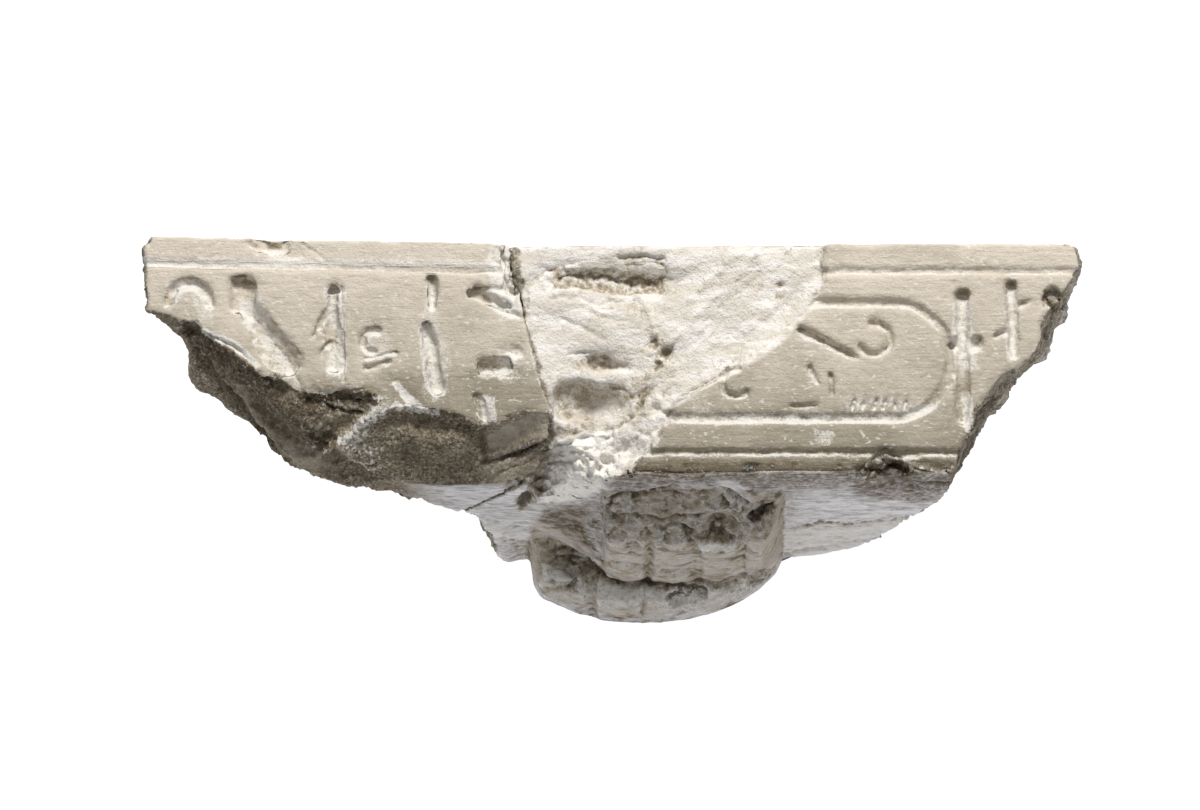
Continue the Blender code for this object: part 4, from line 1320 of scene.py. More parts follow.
LEFT_STAINS_AND_SHADING: tuple[CoverPatch, ...] = (
    CoverPatch(
        Cover.GRIME_AND_SHADE,
        ((222, 362), (250, 372), (300, 405), (345, 445), (330, 474), (286, 440), (240, 396)),
        14, 0.4,
    ),
    # Darker in the hole below the scar's rim: painted shade with some dirt.
    CoverPatch(Cover.GRIME_AND_SHADE, ((300, 394), (380, 392), (362, 414), (310, 414)), 6, 0.6),
    CoverPatch(Cover.SOIL_AND_SHADE, ((300, 396), (380, 392), (372, 412), (310, 412)), 6, 0.15),
    CoverPatch(Cover.GRIME_AND_SHADE, ((180, 322), (215, 338), (225, 362), (196, 352), (184, 338)), 6, 0.5),
    CoverPatch(Cover.GRIME_AND_SHADE, ((370, 408), (450, 410), (482, 432), (478, 484), (390, 484)), 12, 0.02),
    CoverPatch(Cover.GRIME_AND_SHADE, ((455, 412), (490, 428), (486, 450), (462, 436)), 8, 0.3),
    CoverPatch(Cover.GRIME_AND_SHADE, ((345, 398), (388, 402), (356, 440), (328, 436)), 6, -0.5),
    CoverPatch(Cover.GRIME_AND_SHADE, ((335, 436), (392, 434), (390, 474), (350, 466)), 8, -0.5),
    CoverPatch(Cover.DUST_AND_LIGHT, ((372, 402), (394, 404), (362, 443), (330, 444)), 8, 0.38),
    CoverPatch(Cover.DUST_AND_LIGHT, ((336, 438), (380, 444), (390, 472), (366, 470), (344, 452)), 9, 0.3),
    CoverPatch(
        Cover.DUST_AND_LIGHT,
        ((549, 410), (556, 412), (556, 440), (543, 472), (532, 496), (528, 492), (538, 468), (550, 438)),
        3, 0.45,
    ),
    CoverPatch(Cover.DUST_AND_LIGHT, ((300, 436), (318, 446), (330, 452), (322, 456), (306, 446)), 4, 0.25),
    CoverPatch(Cover.GRIME_AND_SHADE, ((484, 452), (540, 436), (532, 450), (490, 466)), 5, 0.45),
    CoverPatch(Cover.GRIME_AND_SHADE, ((480, 466), (545, 450), (548, 470), (525, 497), (480, 494)), 8, -0.22),
    CoverPatch(Cover.SOIL_AND_SHADE, ((500, 480), (522, 476), (524, 490), (504, 498)), 5, 0.4),
    CoverPatch(Cover.TONE, ((380, 372), (540, 366), (548, 410), (500, 428), (400, 408), (370, 390)), 24, 0.3),
    CoverPatch(Cover.DUST_AND_LIGHT, ((380, 394), (402, 404), (440, 409), (440, 415), (398, 412), (374, 398)), 3, 0.5),
    CoverPatch(
        Cover.DUST_AND_LIGHT,
        ((164, 284), (186, 278), (211, 290), (212, 322), (200, 322), (188, 292), (172, 308)),
        4, 0.45,
    ),
    CoverPatch(Cover.DUST_AND_LIGHT, ((320, 290), (346, 286), (346, 382), (322, 376), (336, 340)), 5, 0.4),
    CoverPatch(Cover.DUST_AND_LIGHT, ((362, 330), (386, 328), (398, 360), (366, 362)), 5, 0.35),
    CoverPatch(
        Cover.DUST_AND_LIGHT,
        ((426, 284), (437, 286), (440, 326), (452, 362), (442, 406), (424, 404), (418, 335)),
        6, 0.4,
    ),
    CoverPatch(Cover.DUST_AND_LIGHT, ((388, 382), (398, 382), (424, 406), (408, 408)), 4, 0.6),
    CoverPatch(Cover.DUST_AND_LIGHT, ((480, 396), (496, 396), (497, 424), (484, 420)), 4, 0.6),
    CoverPatch(Cover.DUST_AND_LIGHT, ((489, 240), (514, 240), (526, 312), (500, 330), (488, 300)), 8, 0.5),
    *stained(
        ((496, 236), (524, 236), (530, 306), (512, 306), (498, 270)),
        5,
        {Cover.DRESSED: 0.8, Cover.TONE: -0.4, Cover.GRIME_AND_SHADE: -0.5},
    ),
    CoverPatch(
        Cover.DUST_AND_LIGHT,
        ((198, 324), (230, 337), (246, 348), (262, 368), (256, 371), (240, 352), (202, 334)),
        4, 0.6,
    ),
    CoverPatch(Cover.GRIME_AND_SHADE, ((240, 384), (262, 396), (300, 424), (300, 440), (262, 420)), 8, 0.25),
    *stained(
        ((203, 337), (228, 347), (244, 358), (260, 376), (276, 384), (240, 372), (205, 356)),
        5,
        {Cover.DRESSED: -1.0, Cover.GRIME_AND_SHADE: 0.5},
    ),
    CoverPatch(Cover.DRESSED, ((487, 436), (532, 412), (553, 415), (550, 437), (520, 450), (488, 460)), 4, 0.75),
    CoverPatch(Cover.DRESSED, ((236, 384), (262, 400), (306, 440), (338, 470), (300, 470), (240, 405)), 6, 0.55),
    CoverPatch(Cover.DRESSED, ((484, 464), (544, 450), (548, 470), (525, 494), (488, 494)), 6, 0.35),
    CoverPatch(Cover.DUST_AND_LIGHT, ((258, 292), (262, 300), (308, 390), (290, 384), (246, 325), (236, 296)), 6, 0.35),
    CoverPatch(Cover.TONE, ((262, 240), (326, 242), (320, 262), (268, 264)), 8, -0.3),
    CoverPatch(Cover.SOIL_AND_SHADE, ((250, 252), (262, 246), (290, 262), (326, 261), (322, 264), (262, 264)), 6, 0.25),
    # Painted light on the walls of the left border groove that face away from the key.
    CoverPatch(Cover.SOIL_AND_SHADE, ((140, 254), (495, 257), (495, 270), (140, 268)), 3, -0.6),
    CoverPatch(Cover.DUST_AND_LIGHT, ((140, 256), (495, 259), (495, 268), (140, 266)), 3, 0.5),
    CoverPatch(Cover.DUST_AND_LIGHT, ((140, 262), (495, 265), (495, 271), (140, 268)), 3, 0.15),
    CoverPatch(Cover.DUST_AND_LIGHT, ((497, 345), (535, 345), (545, 385), (505, 392), (495, 365)), 6, 0.3),
)

# The right fragment: the pale break, the carved face, the hands and the underside.
RIGHT_MARKS: tuple[Mark, ...] = (
    lift(576, 488, 32, 16, 10.0, -24),
    lift(556, 497, 14, 8, 3.0, -10),
    lift(570, 468, 30, 14, 6.0, -24),
    lift(568, 450, 26, 14, 3.0, -24),
    swell(506, 558, 16, 12, 1.3),
    swell(545, 590, 14, 14, 1.2),
    swell(1004, 402, 12, 12, 1.4),
    swell(1040, 352, 10, 10, 0.9),
    swell(1062, 318, 8, 10, 0.9),
    pit(600, 277, 52, 7, 0.5, 2, 0.9),
    ledge(((548, 266), (590, 272), (640, 278), (668, 276)), 2.0, 12.0, 0.6, 1.2),
    crack(((545, 282), (590, 286), (640, 292), (660, 288)), 2.0, 0.5, 1.4),
    crack(((560, 276), (610, 279), (655, 284)), 1.6, 0.8, 1.4),
    crack(((555, 291), (600, 296), (645, 298)), 3.0, -0.6, 1.2),
    dent(642, 286, 24, 8, 0.8, -6),
    crack(((620, 258), (642, 257), (664, 259)), 1.8, 1.2, 1.2),
    crack(((628, 264), (650, 263), (662, 265)), 1.5, 0.8, 1.2),
    crack(((525, 308), (528, 292), (538, 278), (558, 268), (575, 264)), 1.6, 0.9, 0.8),
    ledge(((575, 264), (558, 268), (538, 278), (528, 292), (524, 312)), 1.5, 10.0, 0.5, 0.8),
    crack(((534, 318), (538, 302), (548, 288)), 1.2, 0.4),
    crack(((562, 318), (583, 328), (604, 339)), 1.5, 0.7, 0.8),
    crack(((575, 298), (600, 304), (625, 300)), 1.4, 0.5, 1.2),
    crack(((585, 312), (612, 322), (630, 318)), 1.4, 0.5, 1.2),
    pit(605, 362, 20, 6, 1.7, 10, 1.0),
    dent(596, 366, 12, 6, 0.6, 4),
    crack(((572, 354), (590, 352), (612, 360)), 1.8, 0.9, 1.2),
    pit(574, 402, 22, 21, 2.1, -24, 0.1),
    dent(604, 404, 24, 15, 1.5, 10, 0.1),
    dent(600, 381, 13, 5, -1.1, 8, 0.3),
    crack(((612, 388), (622, 390), (632, 396)), 1.6, 0.6, 0.6),
    dent(606, 374, 20, 5, -0.9, 8, 0.2),
    crack(((626, 378), (627, 392), (620, 402)), 2.0, -0.7),
    dent(588, 426, 26, 6, -0.9, -8),
    crack(((556, 376), (551, 392), (553, 410)), 2.2, -0.6),
    pit(654, 344, 6, 5, 1.3, 0, 0.9),
    pit(667, 353, 7, 5, 1.4, 0, 0.9),
    pit(658, 366, 5, 6, 1.0, 0, 0.9),
    pit(782, 284, 4, 3, 0.9, 0, 0.9),
    pit(779, 296, 4, 3, 0.9, 0, 0.9),
    pit(787, 254, 4, 3, 0.5, 0, 0.9),
    crack(((636, 300), (648, 310), (652, 330), (650, 352)), 2.4, -0.8, 1.2),
    ledge(((668, 262), (664, 290), (655, 312), (652, 340)), 2.0, 12.0, 0.6, 1.2),
    ledge(((650, 400), (672, 360), (700, 325), (735, 285), (758, 252)), 4.0, 18.0, 0.35, 1.6),
    ledge(((692, 372), (722, 340), (748, 312), (770, 290)), 4.0, 12.0, 0.25, 1.6),
    ledge(((715, 366), (745, 335), (775, 310), (800, 280)), 4.0, 14.0, 0.25, 1.6),
    crack(((572, 308), (590, 306), (612, 310)), 1.2, 0.4, 1.2),
    crack(((553, 300), (562, 298), (570, 300)), 1.4, 0.5, 0.8),
    crack(((600, 320), (618, 318), (632, 322)), 1.2, 0.35, 1.2),
    crack(((640, 330), (644, 318), (642, 305)), 1.6, 0.4, 1.0),
    crack(((632, 410), (645, 395), (660, 378)), 1.6, 0.6, 1.2),
    crack(((606, 432), (622, 420), (640, 402)), 2.0, 0.7, 1.4),
    crack(((672, 340), (700, 312), (716, 292)), 2.0, -0.5, 1.2),
    crack(((690, 300), (712, 276), (730, 258)), 2.2, -0.4, 1.2),
    crack(((752, 330), (776, 300), (792, 268)), 2.0, -0.4, 1.2),
    crack(((700, 350), (728, 318)), 1.6, 0.5, 1.4),
    crack(((738, 300), (760, 272)), 1.6, 0.5, 1.4),
    crack(((822, 250), (818, 262), (822, 282), (815, 298)), 2.6, 0.6, 1.4),
    ledge(((618, 445), (640, 415), (660, 395)), 2.0, 12.0, 1.0, 1.4),
    ledge(((600, 440), (622, 418), (640, 392)), 2.0, 10.0, 0.8, 1.4),
    crack(((562, 500), (590, 482), (612, 462)), 2.0, 0.7, 1.2),
    crack(((590, 492), (606, 480), (622, 470)), 1.8, 0.6, 1.2),
    crack(((566, 448), (590, 440), (612, 436)), 2.0, 1.0, 1.2),
    ledge(((545, 436), (580, 442), (612, 430)), 2.0, 12.0, -0.9),
    pit(634, 450, 14, 8, 0.9, -14, 1.0),
    crack(((630, 440), (648, 432), (660, 422)), 2.4, 1.0, 1.4),
    crack(((655, 408), (664, 416), (672, 412)), 3.0, 1.0, 1.2),
    pit(952, 345, 3, 3, 1.4, 0, 0.1),
    dent(976, 344, 6, 7, 0.6),
    dent(963, 295, 8, 6, 0.9),
    dent(1012, 286, 5, 4, 0.6),
    crack(((1046, 300), (1054, 296)), 4.0, 0.6),
    dent(888, 474, 18, 8, 2.6, -8, 0.6),
    ledge(((940, 470), (905, 462), (884, 456), (866, 474)), 1.5, 9.0, 0.9, 0.8),
    dent(905, 486, 40, 7, 1.2, 2, 1.2),
    crack(
        ((608, 506), (612, 498), (622, 494), (640, 494), (660, 489), (676, 484), (700, 483), (722, 488),
         (746, 501)),
        2.6, 1.5,
    ),
    crack(((614, 517), (640, 516), (660, 519), (690, 517), (712, 512)), 1.8, 0.8, 1.2),
    ledge(((746, 501), (700, 484), (676, 484), (640, 495), (610, 503)), 1.5, 12.0, -0.6),
    pit(720, 529, 17, 15, 3.2, 0, 0.2),
    crack(((699, 541), (706, 549), (720, 551), (736, 546)), 2.8, -1.0),
    pit(686, 533, 5, 10, 1.3, -28, 0.7),
    pit(632, 547, 8, 6, 1.0, 0, 0.5),
    crack(((646, 520), (650, 538), (650, 560), (648, 580)), 2.2, 0.5),
    crack(((642, 540), (643, 560), (641, 578)), 2.2, -0.35),
    crack(((657, 540), (657, 560), (655, 578)), 2.2, -0.35),
    crack(((700, 552), (702, 565), (701, 580)), 2.0, 0.35),
    crack(((741, 530), (744, 548), (744, 574)), 1.8, 0.5),
    pit(763, 513, 17, 7, 2.4, -26, 0.25),
    ledge(((742, 552), (752, 530), (783, 507)), 1.6, 9.0, 0.5),
    crack(((604, 562), (626, 565), (649, 568)), 1.6, 0.6),
    crack(((654, 570), (672, 573), (691, 571)), 1.6, 0.7),
    crack(((596, 560), (612, 568), (640, 574)), 5.0, -0.5),
    crack(((655, 577), (690, 579), (735, 574)), 5.0, -0.4),
    crack(((586, 566), (600, 577), (620, 586), (634, 588), (648, 583)), 3.2, 1.5),
    crack(((648, 583), (664, 588), (684, 588), (700, 584)), 3.4, 1.6),
    crack(((700, 584), (719, 588), (737, 580), (752, 577), (768, 574)), 3.4, 1.3),
    pit(733, 588, 10, 6, 1.6, -10, 0.6),
    pit(757, 583, 9, 5, 1.0, -20, 0.6),
    pit(684, 601, 16, 11, 2.0, -24, 0.6),
    pit(704, 597, 6, 6, 1.6, 0, 0.5),
    dent(556, 560, 24, 13, 1.0, 22),
    dent(560, 575, 14, 7, -1.2, 8),
    crack(((547, 588), (562, 590), (576, 584)), 2.6, 1.0),
    crack(((592, 578), (590, 600), (592, 618)), 5.0, 1.0),
    crack(((599, 580), (598, 600), (600, 616)), 3.0, -0.4),
    crack(((644, 588), (645, 602), (643, 616)), 2.0, 0.6),
    crack(((644, 624), (648, 615), (660, 626)), 2.2, -0.6),
    crack(((560, 598), (590, 616), (625, 622)), 1.4, 0.35),
    crack(((556, 592), (580, 608), (600, 612)), 1.2, 0.3),
    ledge(((477, 516), (510, 524), (540, 532), (575, 552), (596, 562)), 2.0, 8.0, 0.8),
    crack(((476, 524), (500, 531), (528, 536)), 3.6, -0.8),
    pit(528, 500, 12, 7, 2.6, -28, 0.4),
    crack(((786, 532), (808, 527), (821, 523), (852, 526), (913, 518)), 1.8, 0.9, 1.2),
    ledge(((783, 536), (808, 531), (821, 527), (852, 530), (913, 522)), 1.5, 8.0, 0.6, 1.2),
    crack(((783, 557), (815, 551), (850, 545), (885, 541)), 1.8, 0.9, 1.2),
    crack(((786, 546), (830, 541), (880, 535)), 1.2, 0.5, 1.2),
)
RIGHT_GRITS: tuple[Grit, ...] = (
    Grit(((545, 440), (612, 432), (622, 470), (590, 500), (548, 505)), 0.30, 0.0010, 0.0, 8),
    Grit(((612, 432), (655, 432), (650, 456), (625, 476), (612, 470)), 0.32, 0.0010, 0.0, 8),
    Grit(((555, 266), (640, 270), (668, 278), (660, 295), (600, 294), (550, 288)), 0.30, 0.0011, 0.0, 6),
    Grit(((530, 300), (650, 300), (640, 370), (545, 372)), 0.02, 0.0009, 0.6, 20),
    Grit(((550, 376), (628, 380), (625, 425), (552, 428)), 0.0, 0.0009, 0.95, 8),
    Grit(((535, 250), (640, 252), (640, 268), (535, 266)), 0.0, 0.0009, 0.7, 8),
    Grit(((785, 482), (945, 482), (900, 545), (785, 563)), 0.1, 0.0009, 0.0, 10),
    Grit(((650, 335), (676, 340), (672, 372), (650, 372)), 0.25, 0.0009, 0.0, 6),
    Grit(((612, 518), (740, 516), (744, 548), (700, 556), (612, 552)), 0.2, 0.0011, 0.0, 8),
    Grit(((486, 530), (530, 530), (530, 566), (486, 566)), 0.35, 0.0025, 0.0, 8),
    Grit(((900, 456), (952, 458), (956, 498), (905, 498), (900, 470)), 0.2, 0.001, 0.0, 8),
    Grit(((702, 522), (734, 520), (736, 542), (704, 544)), 0.22, 0.001, 0.0, 4),
    Grit(((672, 590), (712, 588), (708, 612), (674, 614)), 0.25, 0.001, 0.0, 4),
)
RIGHT_STAINS_AND_SHADING: tuple[CoverPatch, ...] = (
    CoverPatch(Cover.SOIL_AND_SHADE, ((548, 268), (610, 266), (668, 276), (665, 294), (600, 293), (552, 288)), 5, 0.46),
    CoverPatch(Cover.SOIL_AND_SHADE, ((625, 256), (662, 257), (662, 264), (626, 263)), 4, 0.4),
    # Painted shade, tinted tan, on the upper left of the round hollow.
    CoverPatch(
        Cover.SOIL_AND_SHADE,
        ((552, 376), (596, 378), (622, 388), (634, 398), (612, 402), (586, 404), (570, 416), (556, 418)),
        10, 0.42,
    ),
    CoverPatch(Cover.GRIME_AND_SHADE, ((572, 410), (612, 404), (620, 420), (590, 432), (570, 428)), 8, 0.2),
    CoverPatch(Cover.GRIME_AND_SHADE, ((515, 236), (670, 238), (660, 262), (560, 262), (525, 280)), 12, 0.15),
    CoverPatch(
        Cover.DUST_AND_LIGHT,
        ((640, 462), (660, 430), (618, 436), (556, 434), (548, 470), (545, 505), (590, 498)),
        8, 0.5,
    ),
    # Painted light on the ring's lower groove, whose walls face away from the key.
    CoverPatch(
        Cover.SOIL_AND_SHADE,
        ((672, 410), (930, 406), (960, 374), (964, 340), (974, 345), (966, 385), (938, 412), (905, 424),
         (672, 424)),
        4, -0.55,
    ),
    CoverPatch(Cover.DUST_AND_LIGHT, ((676, 412), (900, 412), (932, 402), (940, 410), (905, 424), (676, 424)), 4, 0.3),
    # Painted light on the lower hand's fingers, which lie in the upper hand's shadow.
    CoverPatch(
        Cover.DUST_AND_LIGHT,
        ((585, 584), (650, 590), (700, 592), (770, 582), (770, 596), (700, 614), (610, 612), (575, 598)),
        8, 0.4,
    ),
    CoverPatch(
        Cover.SOIL_AND_SHADE,
        ((585, 584), (650, 592), (700, 594), (770, 584), (765, 596), (700, 612), (610, 608), (575, 596)),
        8, -0.15,
    ),
    CoverPatch(Cover.SOIL_AND_SHADE, ((572, 356), (608, 355), (612, 370), (578, 372)), 4, 0.4),
    # Painted shade on the upper left of the round hollow.
    CoverPatch(
        Cover.GRIME_AND_SHADE,
        ((552, 378), (586, 378), (592, 388), (582, 400), (570, 416), (558, 420), (548, 405)),
        12, 0.05,
    ),
    CoverPatch(Cover.SOIL_AND_SHADE, ((630, 376), (654, 372), (650, 400), (622, 440), (606, 446), (628, 408)), 8, 0.3),
    CoverPatch(Cover.SOIL_AND_SHADE, ((556, 426), (600, 420), (622, 424), (606, 436), (570, 444), (552, 440)), 6, 0.3),
    CoverPatch(
        Cover.SOIL_AND_SHADE,
        ((655, 335), (672, 345), (700, 382), (680, 400), (655, 402), (640, 430), (630, 425)),
        8, 0.18,
    ),
    CoverPatch(Cover.SOIL_AND_SHADE, ((650, 336), (676, 342), (670, 370), (652, 370)), 5, 0.3),
    CoverPatch(Cover.SOIL_AND_SHADE, ((776, 278), (788, 278), (786, 300), (774, 300)), 4, 0.3),
    CoverPatch(Cover.WHITE, ((560, 456), (612, 434), (618, 462), (590, 498), (545, 506), (545, 480)), 6, 1.0),
    CoverPatch(Cover.WHITE, ((562, 444), (606, 430), (612, 440), (580, 470), (554, 484)), 8, 0.8),
    CoverPatch(Cover.SOIL_AND_SHADE, ((552, 428), (592, 424), (578, 446), (552, 462)), 8, 0.2),
    *stained(PALE_BORDER, 4, {Cover.FRESH: 1.0, Cover.SOIL_AND_SHADE: -0.5}),
    CoverPatch(Cover.WHITE, ((612, 434), (650, 430), (640, 452), (618, 464)), 6, 0.5),
    CoverPatch(Cover.SOIL_AND_SHADE, ((545, 446), (612, 430), (622, 462), (590, 500), (545, 505)), 8, -0.4),
    CoverPatch(
        Cover.WHITE,
        ((655, 250), (825, 250), (815, 297), (770, 345), (700, 380), (660, 400), (672, 330)),
        16, 0.25,
    ),
    CoverPatch(Cover.FRESH, ((536, 446), (552, 440), (560, 452), (548, 476), (536, 478)), 6, -0.3),
    CoverPatch(Cover.TONE, ((820, 240), (960, 240), (960, 262), (820, 262)), 10, 0.2),
    CoverPatch(Cover.GRIME_AND_SHADE, ((640, 468), (950, 468), (956, 478), (640, 478)), 9, 0.08),
    CoverPatch(
        Cover.GRIME_AND_SHADE,
        ((1090, 262), (1078, 276), (1060, 304), (1046, 340), (1034, 368), (1012, 392), (1060, 380),
         (1096, 300)),
        5, -0.6,
    ),
    CoverPatch(
        Cover.DUST_AND_LIGHT,
        ((1088, 266), (1072, 296), (1052, 340), (1038, 366), (1014, 390), (1060, 370), (1096, 290)),
        6, 0.4,
    ),
    *stained(
        ((714, 478), (740, 482), (754, 500), (744, 510), (724, 498)),
        5,
        {Cover.GRIME_AND_SHADE: -0.6, Cover.DUST_AND_LIGHT: 0.3},
    ),
    CoverPatch(Cover.GRIME_AND_SHADE, ((1016, 388), (996, 398), (984, 420), (974, 446), (990, 440), (1020, 410)), 5, -0.7),
    CoverPatch(
        Cover.SOIL_AND_SHADE,
        ((1070, 288), (1060, 296), (1046, 322), (1040, 346), (1028, 366), (1004, 388), (1008, 390),
         (1034, 368), (1047, 344), (1052, 322), (1068, 296)),
        3, 0.4,
    ),
    # Painted light on the walls of the right border groove that face away from the key.
    CoverPatch(Cover.SOIL_AND_SHADE, ((822, 258), (1084, 258), (1084, 270), (822, 270)), 3, -0.6),
    CoverPatch(Cover.DUST_AND_LIGHT, ((822, 267), (1080, 267), (1078, 272), (822, 272)), 3, 0.25),
    CoverPatch(Cover.SOIL_AND_SHADE, ((690, 409), (930, 407), (934, 424), (690, 424)), 4, -0.35),
    CoverPatch(
        Cover.SOIL_AND_SHADE,
        ((820, 296), (900, 294), (940, 312), (956, 345), (940, 350), (924, 318), (890, 308), (820, 309)),
        4, -0.3,
    ),
    CoverPatch(Cover.DUST_AND_LIGHT, ((762, 340), (812, 336), (826, 400), (770, 402)), 8, 0.2),
    CoverPatch(Cover.DUST_AND_LIGHT, ((838, 392), (925, 390), (925, 410), (836, 411)), 4, 0.3),
    CoverPatch(Cover.DUST_AND_LIGHT, ((690, 398), (712, 392), (712, 412), (694, 414)), 4, 0.35),
    CoverPatch(
        Cover.GRIME_AND_SHADE,
        ((992, 394), (974, 412), (962, 446), (956, 468), (950, 500), (968, 470), (990, 425), (1000, 400)),
        6, 0.7,
    ),
    CoverPatch(Cover.SOIL_AND_SHADE, ((1040, 291), (1062, 292), (1060, 312), (1042, 312)), 4, 0.5),
    CoverPatch(Cover.GRIME_AND_SHADE, ((862, 480), (884, 458), (920, 472), (915, 490), (870, 490)), 5, 0.6),
    CoverPatch(Cover.GRIME_AND_SHADE, ((850, 476), (956, 476), (956, 494), (920, 504), (855, 498)), 8, 0.7),
    # Painted shadow of the face's lower edge on the underside.
    CoverPatch(
        Cover.GRIME_AND_SHADE,
        ((600, 478), (640, 474), (850, 477), (850, 487), (760, 494), (720, 484), (676, 480), (620, 494)),
        8, 0.4,
    ),
    CoverPatch(Cover.DUST_AND_LIGHT, ((952, 300), (976, 300), (974, 330), (982, 370), (958, 372), (950, 340)), 6, 0.45),
    CoverPatch(Cover.DUST_AND_LIGHT, ((962, 395), (972, 395), (974, 432), (964, 432)), 4, 0.5),
    CoverPatch(Cover.DUST_AND_LIGHT, ((1006, 290), (1018, 290), (1018, 362), (1006, 362)), 4, 0.4),
    CoverPatch(Cover.DUST_AND_LIGHT, ((812, 428), (836, 430), (830, 446), (814, 446)), 5, 0.5),
    CoverPatch(
        Cover.SOIL_AND_SHADE,
        ((785, 533), (800, 528), (822, 521), (852, 525), (912, 517), (910, 522), (850, 533), (820, 531)),
        3, 0.55,
    ),
    CoverPatch(Cover.SOIL_AND_SHADE, ((785, 550), (850, 543), (884, 538), (884, 542), (850, 549), (785, 556)), 3, 0.3),
    CoverPatch(Cover.GRIME_AND_SHADE, ((640, 482), (780, 484), (880, 488), (860, 500), (780, 497), (640, 494)), 10, 0.2),
    CoverPatch(Cover.SOIL_AND_SHADE, ((610, 496), (676, 486), (740, 496), (744, 512), (690, 518), (612, 514)), 8, 0.15),
    CoverPatch(
        Cover.SOIL_AND_SHADE,
        ((606, 508), (610, 495), (640, 491), (676, 481), (722, 485), (750, 500), (746, 504), (700, 487),
         (640, 497), (612, 502)),
        3, 0.2,
    ),
    # Painted bluish floor light on the lower rim of the hands.
    CoverPatch(
        Cover.COOL_AND_FLOOR_LIGHT,
        ((528, 560), (545, 600), (600, 616), (650, 621), (720, 611), (770, 585), (784, 555), (790, 600),
         (720, 640), (640, 645), (555, 630), (520, 590)),
        8, 0.6,
    ),
    # Painted bluish floor light on the web, and painted shade towards the upper hand's left wall.
    CoverPatch(Cover.COOL_AND_FLOOR_LIGHT, ((590, 498), (612, 498), (608, 566), (596, 560), (584, 530)), 8, 0.5),
    CoverPatch(Cover.GRIME_AND_SHADE, ((540, 510), (590, 498), (612, 498), (608, 566), (596, 560), (570, 546)), 10, 0.55),
    # Painted shade on the hands' lower rim, which the floor lights strongly.
    CoverPatch(
        Cover.GRIME_AND_SHADE,
        ((540, 600), (600, 618), (650, 623), (720, 614), (770, 588), (775, 600), (720, 635), (640, 640),
         (545, 615)),
        8, 0.6,
    ),
    # Painted shadow under the foot.
    CoverPatch(Cover.GRIME_AND_SHADE, ((470, 506), (540, 504), (580, 500), (590, 520), (540, 524), (480, 518)), 8, 0.2),
    CoverPatch(Cover.SOIL_AND_SHADE, ((748, 520), (770, 504), (780, 508), (760, 524)), 4, 0.45),
    # Painted shade with some dirt in the round pit of the upper hand.
    CoverPatch(Cover.SOIL_AND_SHADE, ((704, 514), (736, 514), (738, 541), (704, 543)), 5, 0.25),
    CoverPatch(Cover.SOIL_AND_SHADE, ((678, 522), (692, 524), (694, 542), (684, 542)), 4, 0.3),
    CoverPatch(Cover.SOIL_AND_SHADE, ((672, 588), (712, 586), (710, 612), (668, 612)), 5, 0.35),
    CoverPatch(Cover.SOIL_AND_SHADE, ((530, 542), (586, 548), (580, 562), (540, 560)), 6, 0.1),
    # Painted shadow under the upper hand's scalloped lip.
    CoverPatch(Cover.SOIL_AND_SHADE, ((640, 582), (700, 586), (698, 592), (650, 590)), 4, 0.35),
    CoverPatch(Cover.SOIL_AND_SHADE, ((512, 498), (542, 488), (540, 502), (520, 512)), 5, 0.7),
    CoverPatch(Cover.SOIL_AND_SHADE, ((486, 536), (528, 538), (530, 568), (500, 560)), 5, 0.3),
    CoverPatch(Cover.DUST_AND_LIGHT, ((478, 520), (510, 528), (530, 534), (528, 542), (490, 536)), 5, 0.4),
    CoverPatch(Cover.DUST_AND_LIGHT, ((540, 566), (580, 566), (580, 584), (544, 584)), 5, 0.4),
    # Painted highlight on the lower rim of the round pit.
    CoverPatch(Cover.DUST_AND_LIGHT, ((699, 544), (736, 545), (735, 552), (702, 553)), 3, 0.6),
    CoverPatch(Cover.DUST_AND_LIGHT, ((785, 530), (850, 526), (910, 520), (890, 545), (800, 565), (785, 560)), 6, 0.5),
)

# Where the carving is worn soft.
LEFT_RUBBED: tuple[Points, ...] = (
    ((158, 276), (350, 278), (350, 400), (158, 400)),
    ((352, 280), (455, 276), (455, 412), (352, 412)),
    ((464, 284), (545, 284), (545, 430), (464, 430)),
)
RIGHT_RUBBED: tuple[Points, ...] = (
    ((700, 330), (800, 318), (925, 318), (925, 408), (700, 408)),
    ((945, 283), (1036, 283), (1036, 440), (945, 440)),
)

# Where the carving is shallower, and by how much.
LEFT_FAINT: tuple[tuple[Points, float], ...] = ((((140, 250), (500, 252), (500, 274), (140, 272)), 1.05),)
RIGHT_FAINT: tuple[tuple[Points, float], ...] = (
    (((826, 252), (1090, 252), (1082, 276), (826, 276)), 0.7),
    (((655, 452), (965, 452), (958, 472), (640, 472)), 0.5),
    (((660, 400), (905, 400), (935, 392), (965, 340), (980, 350), (950, 410), (905, 430), (660, 430)), 0.35),
)


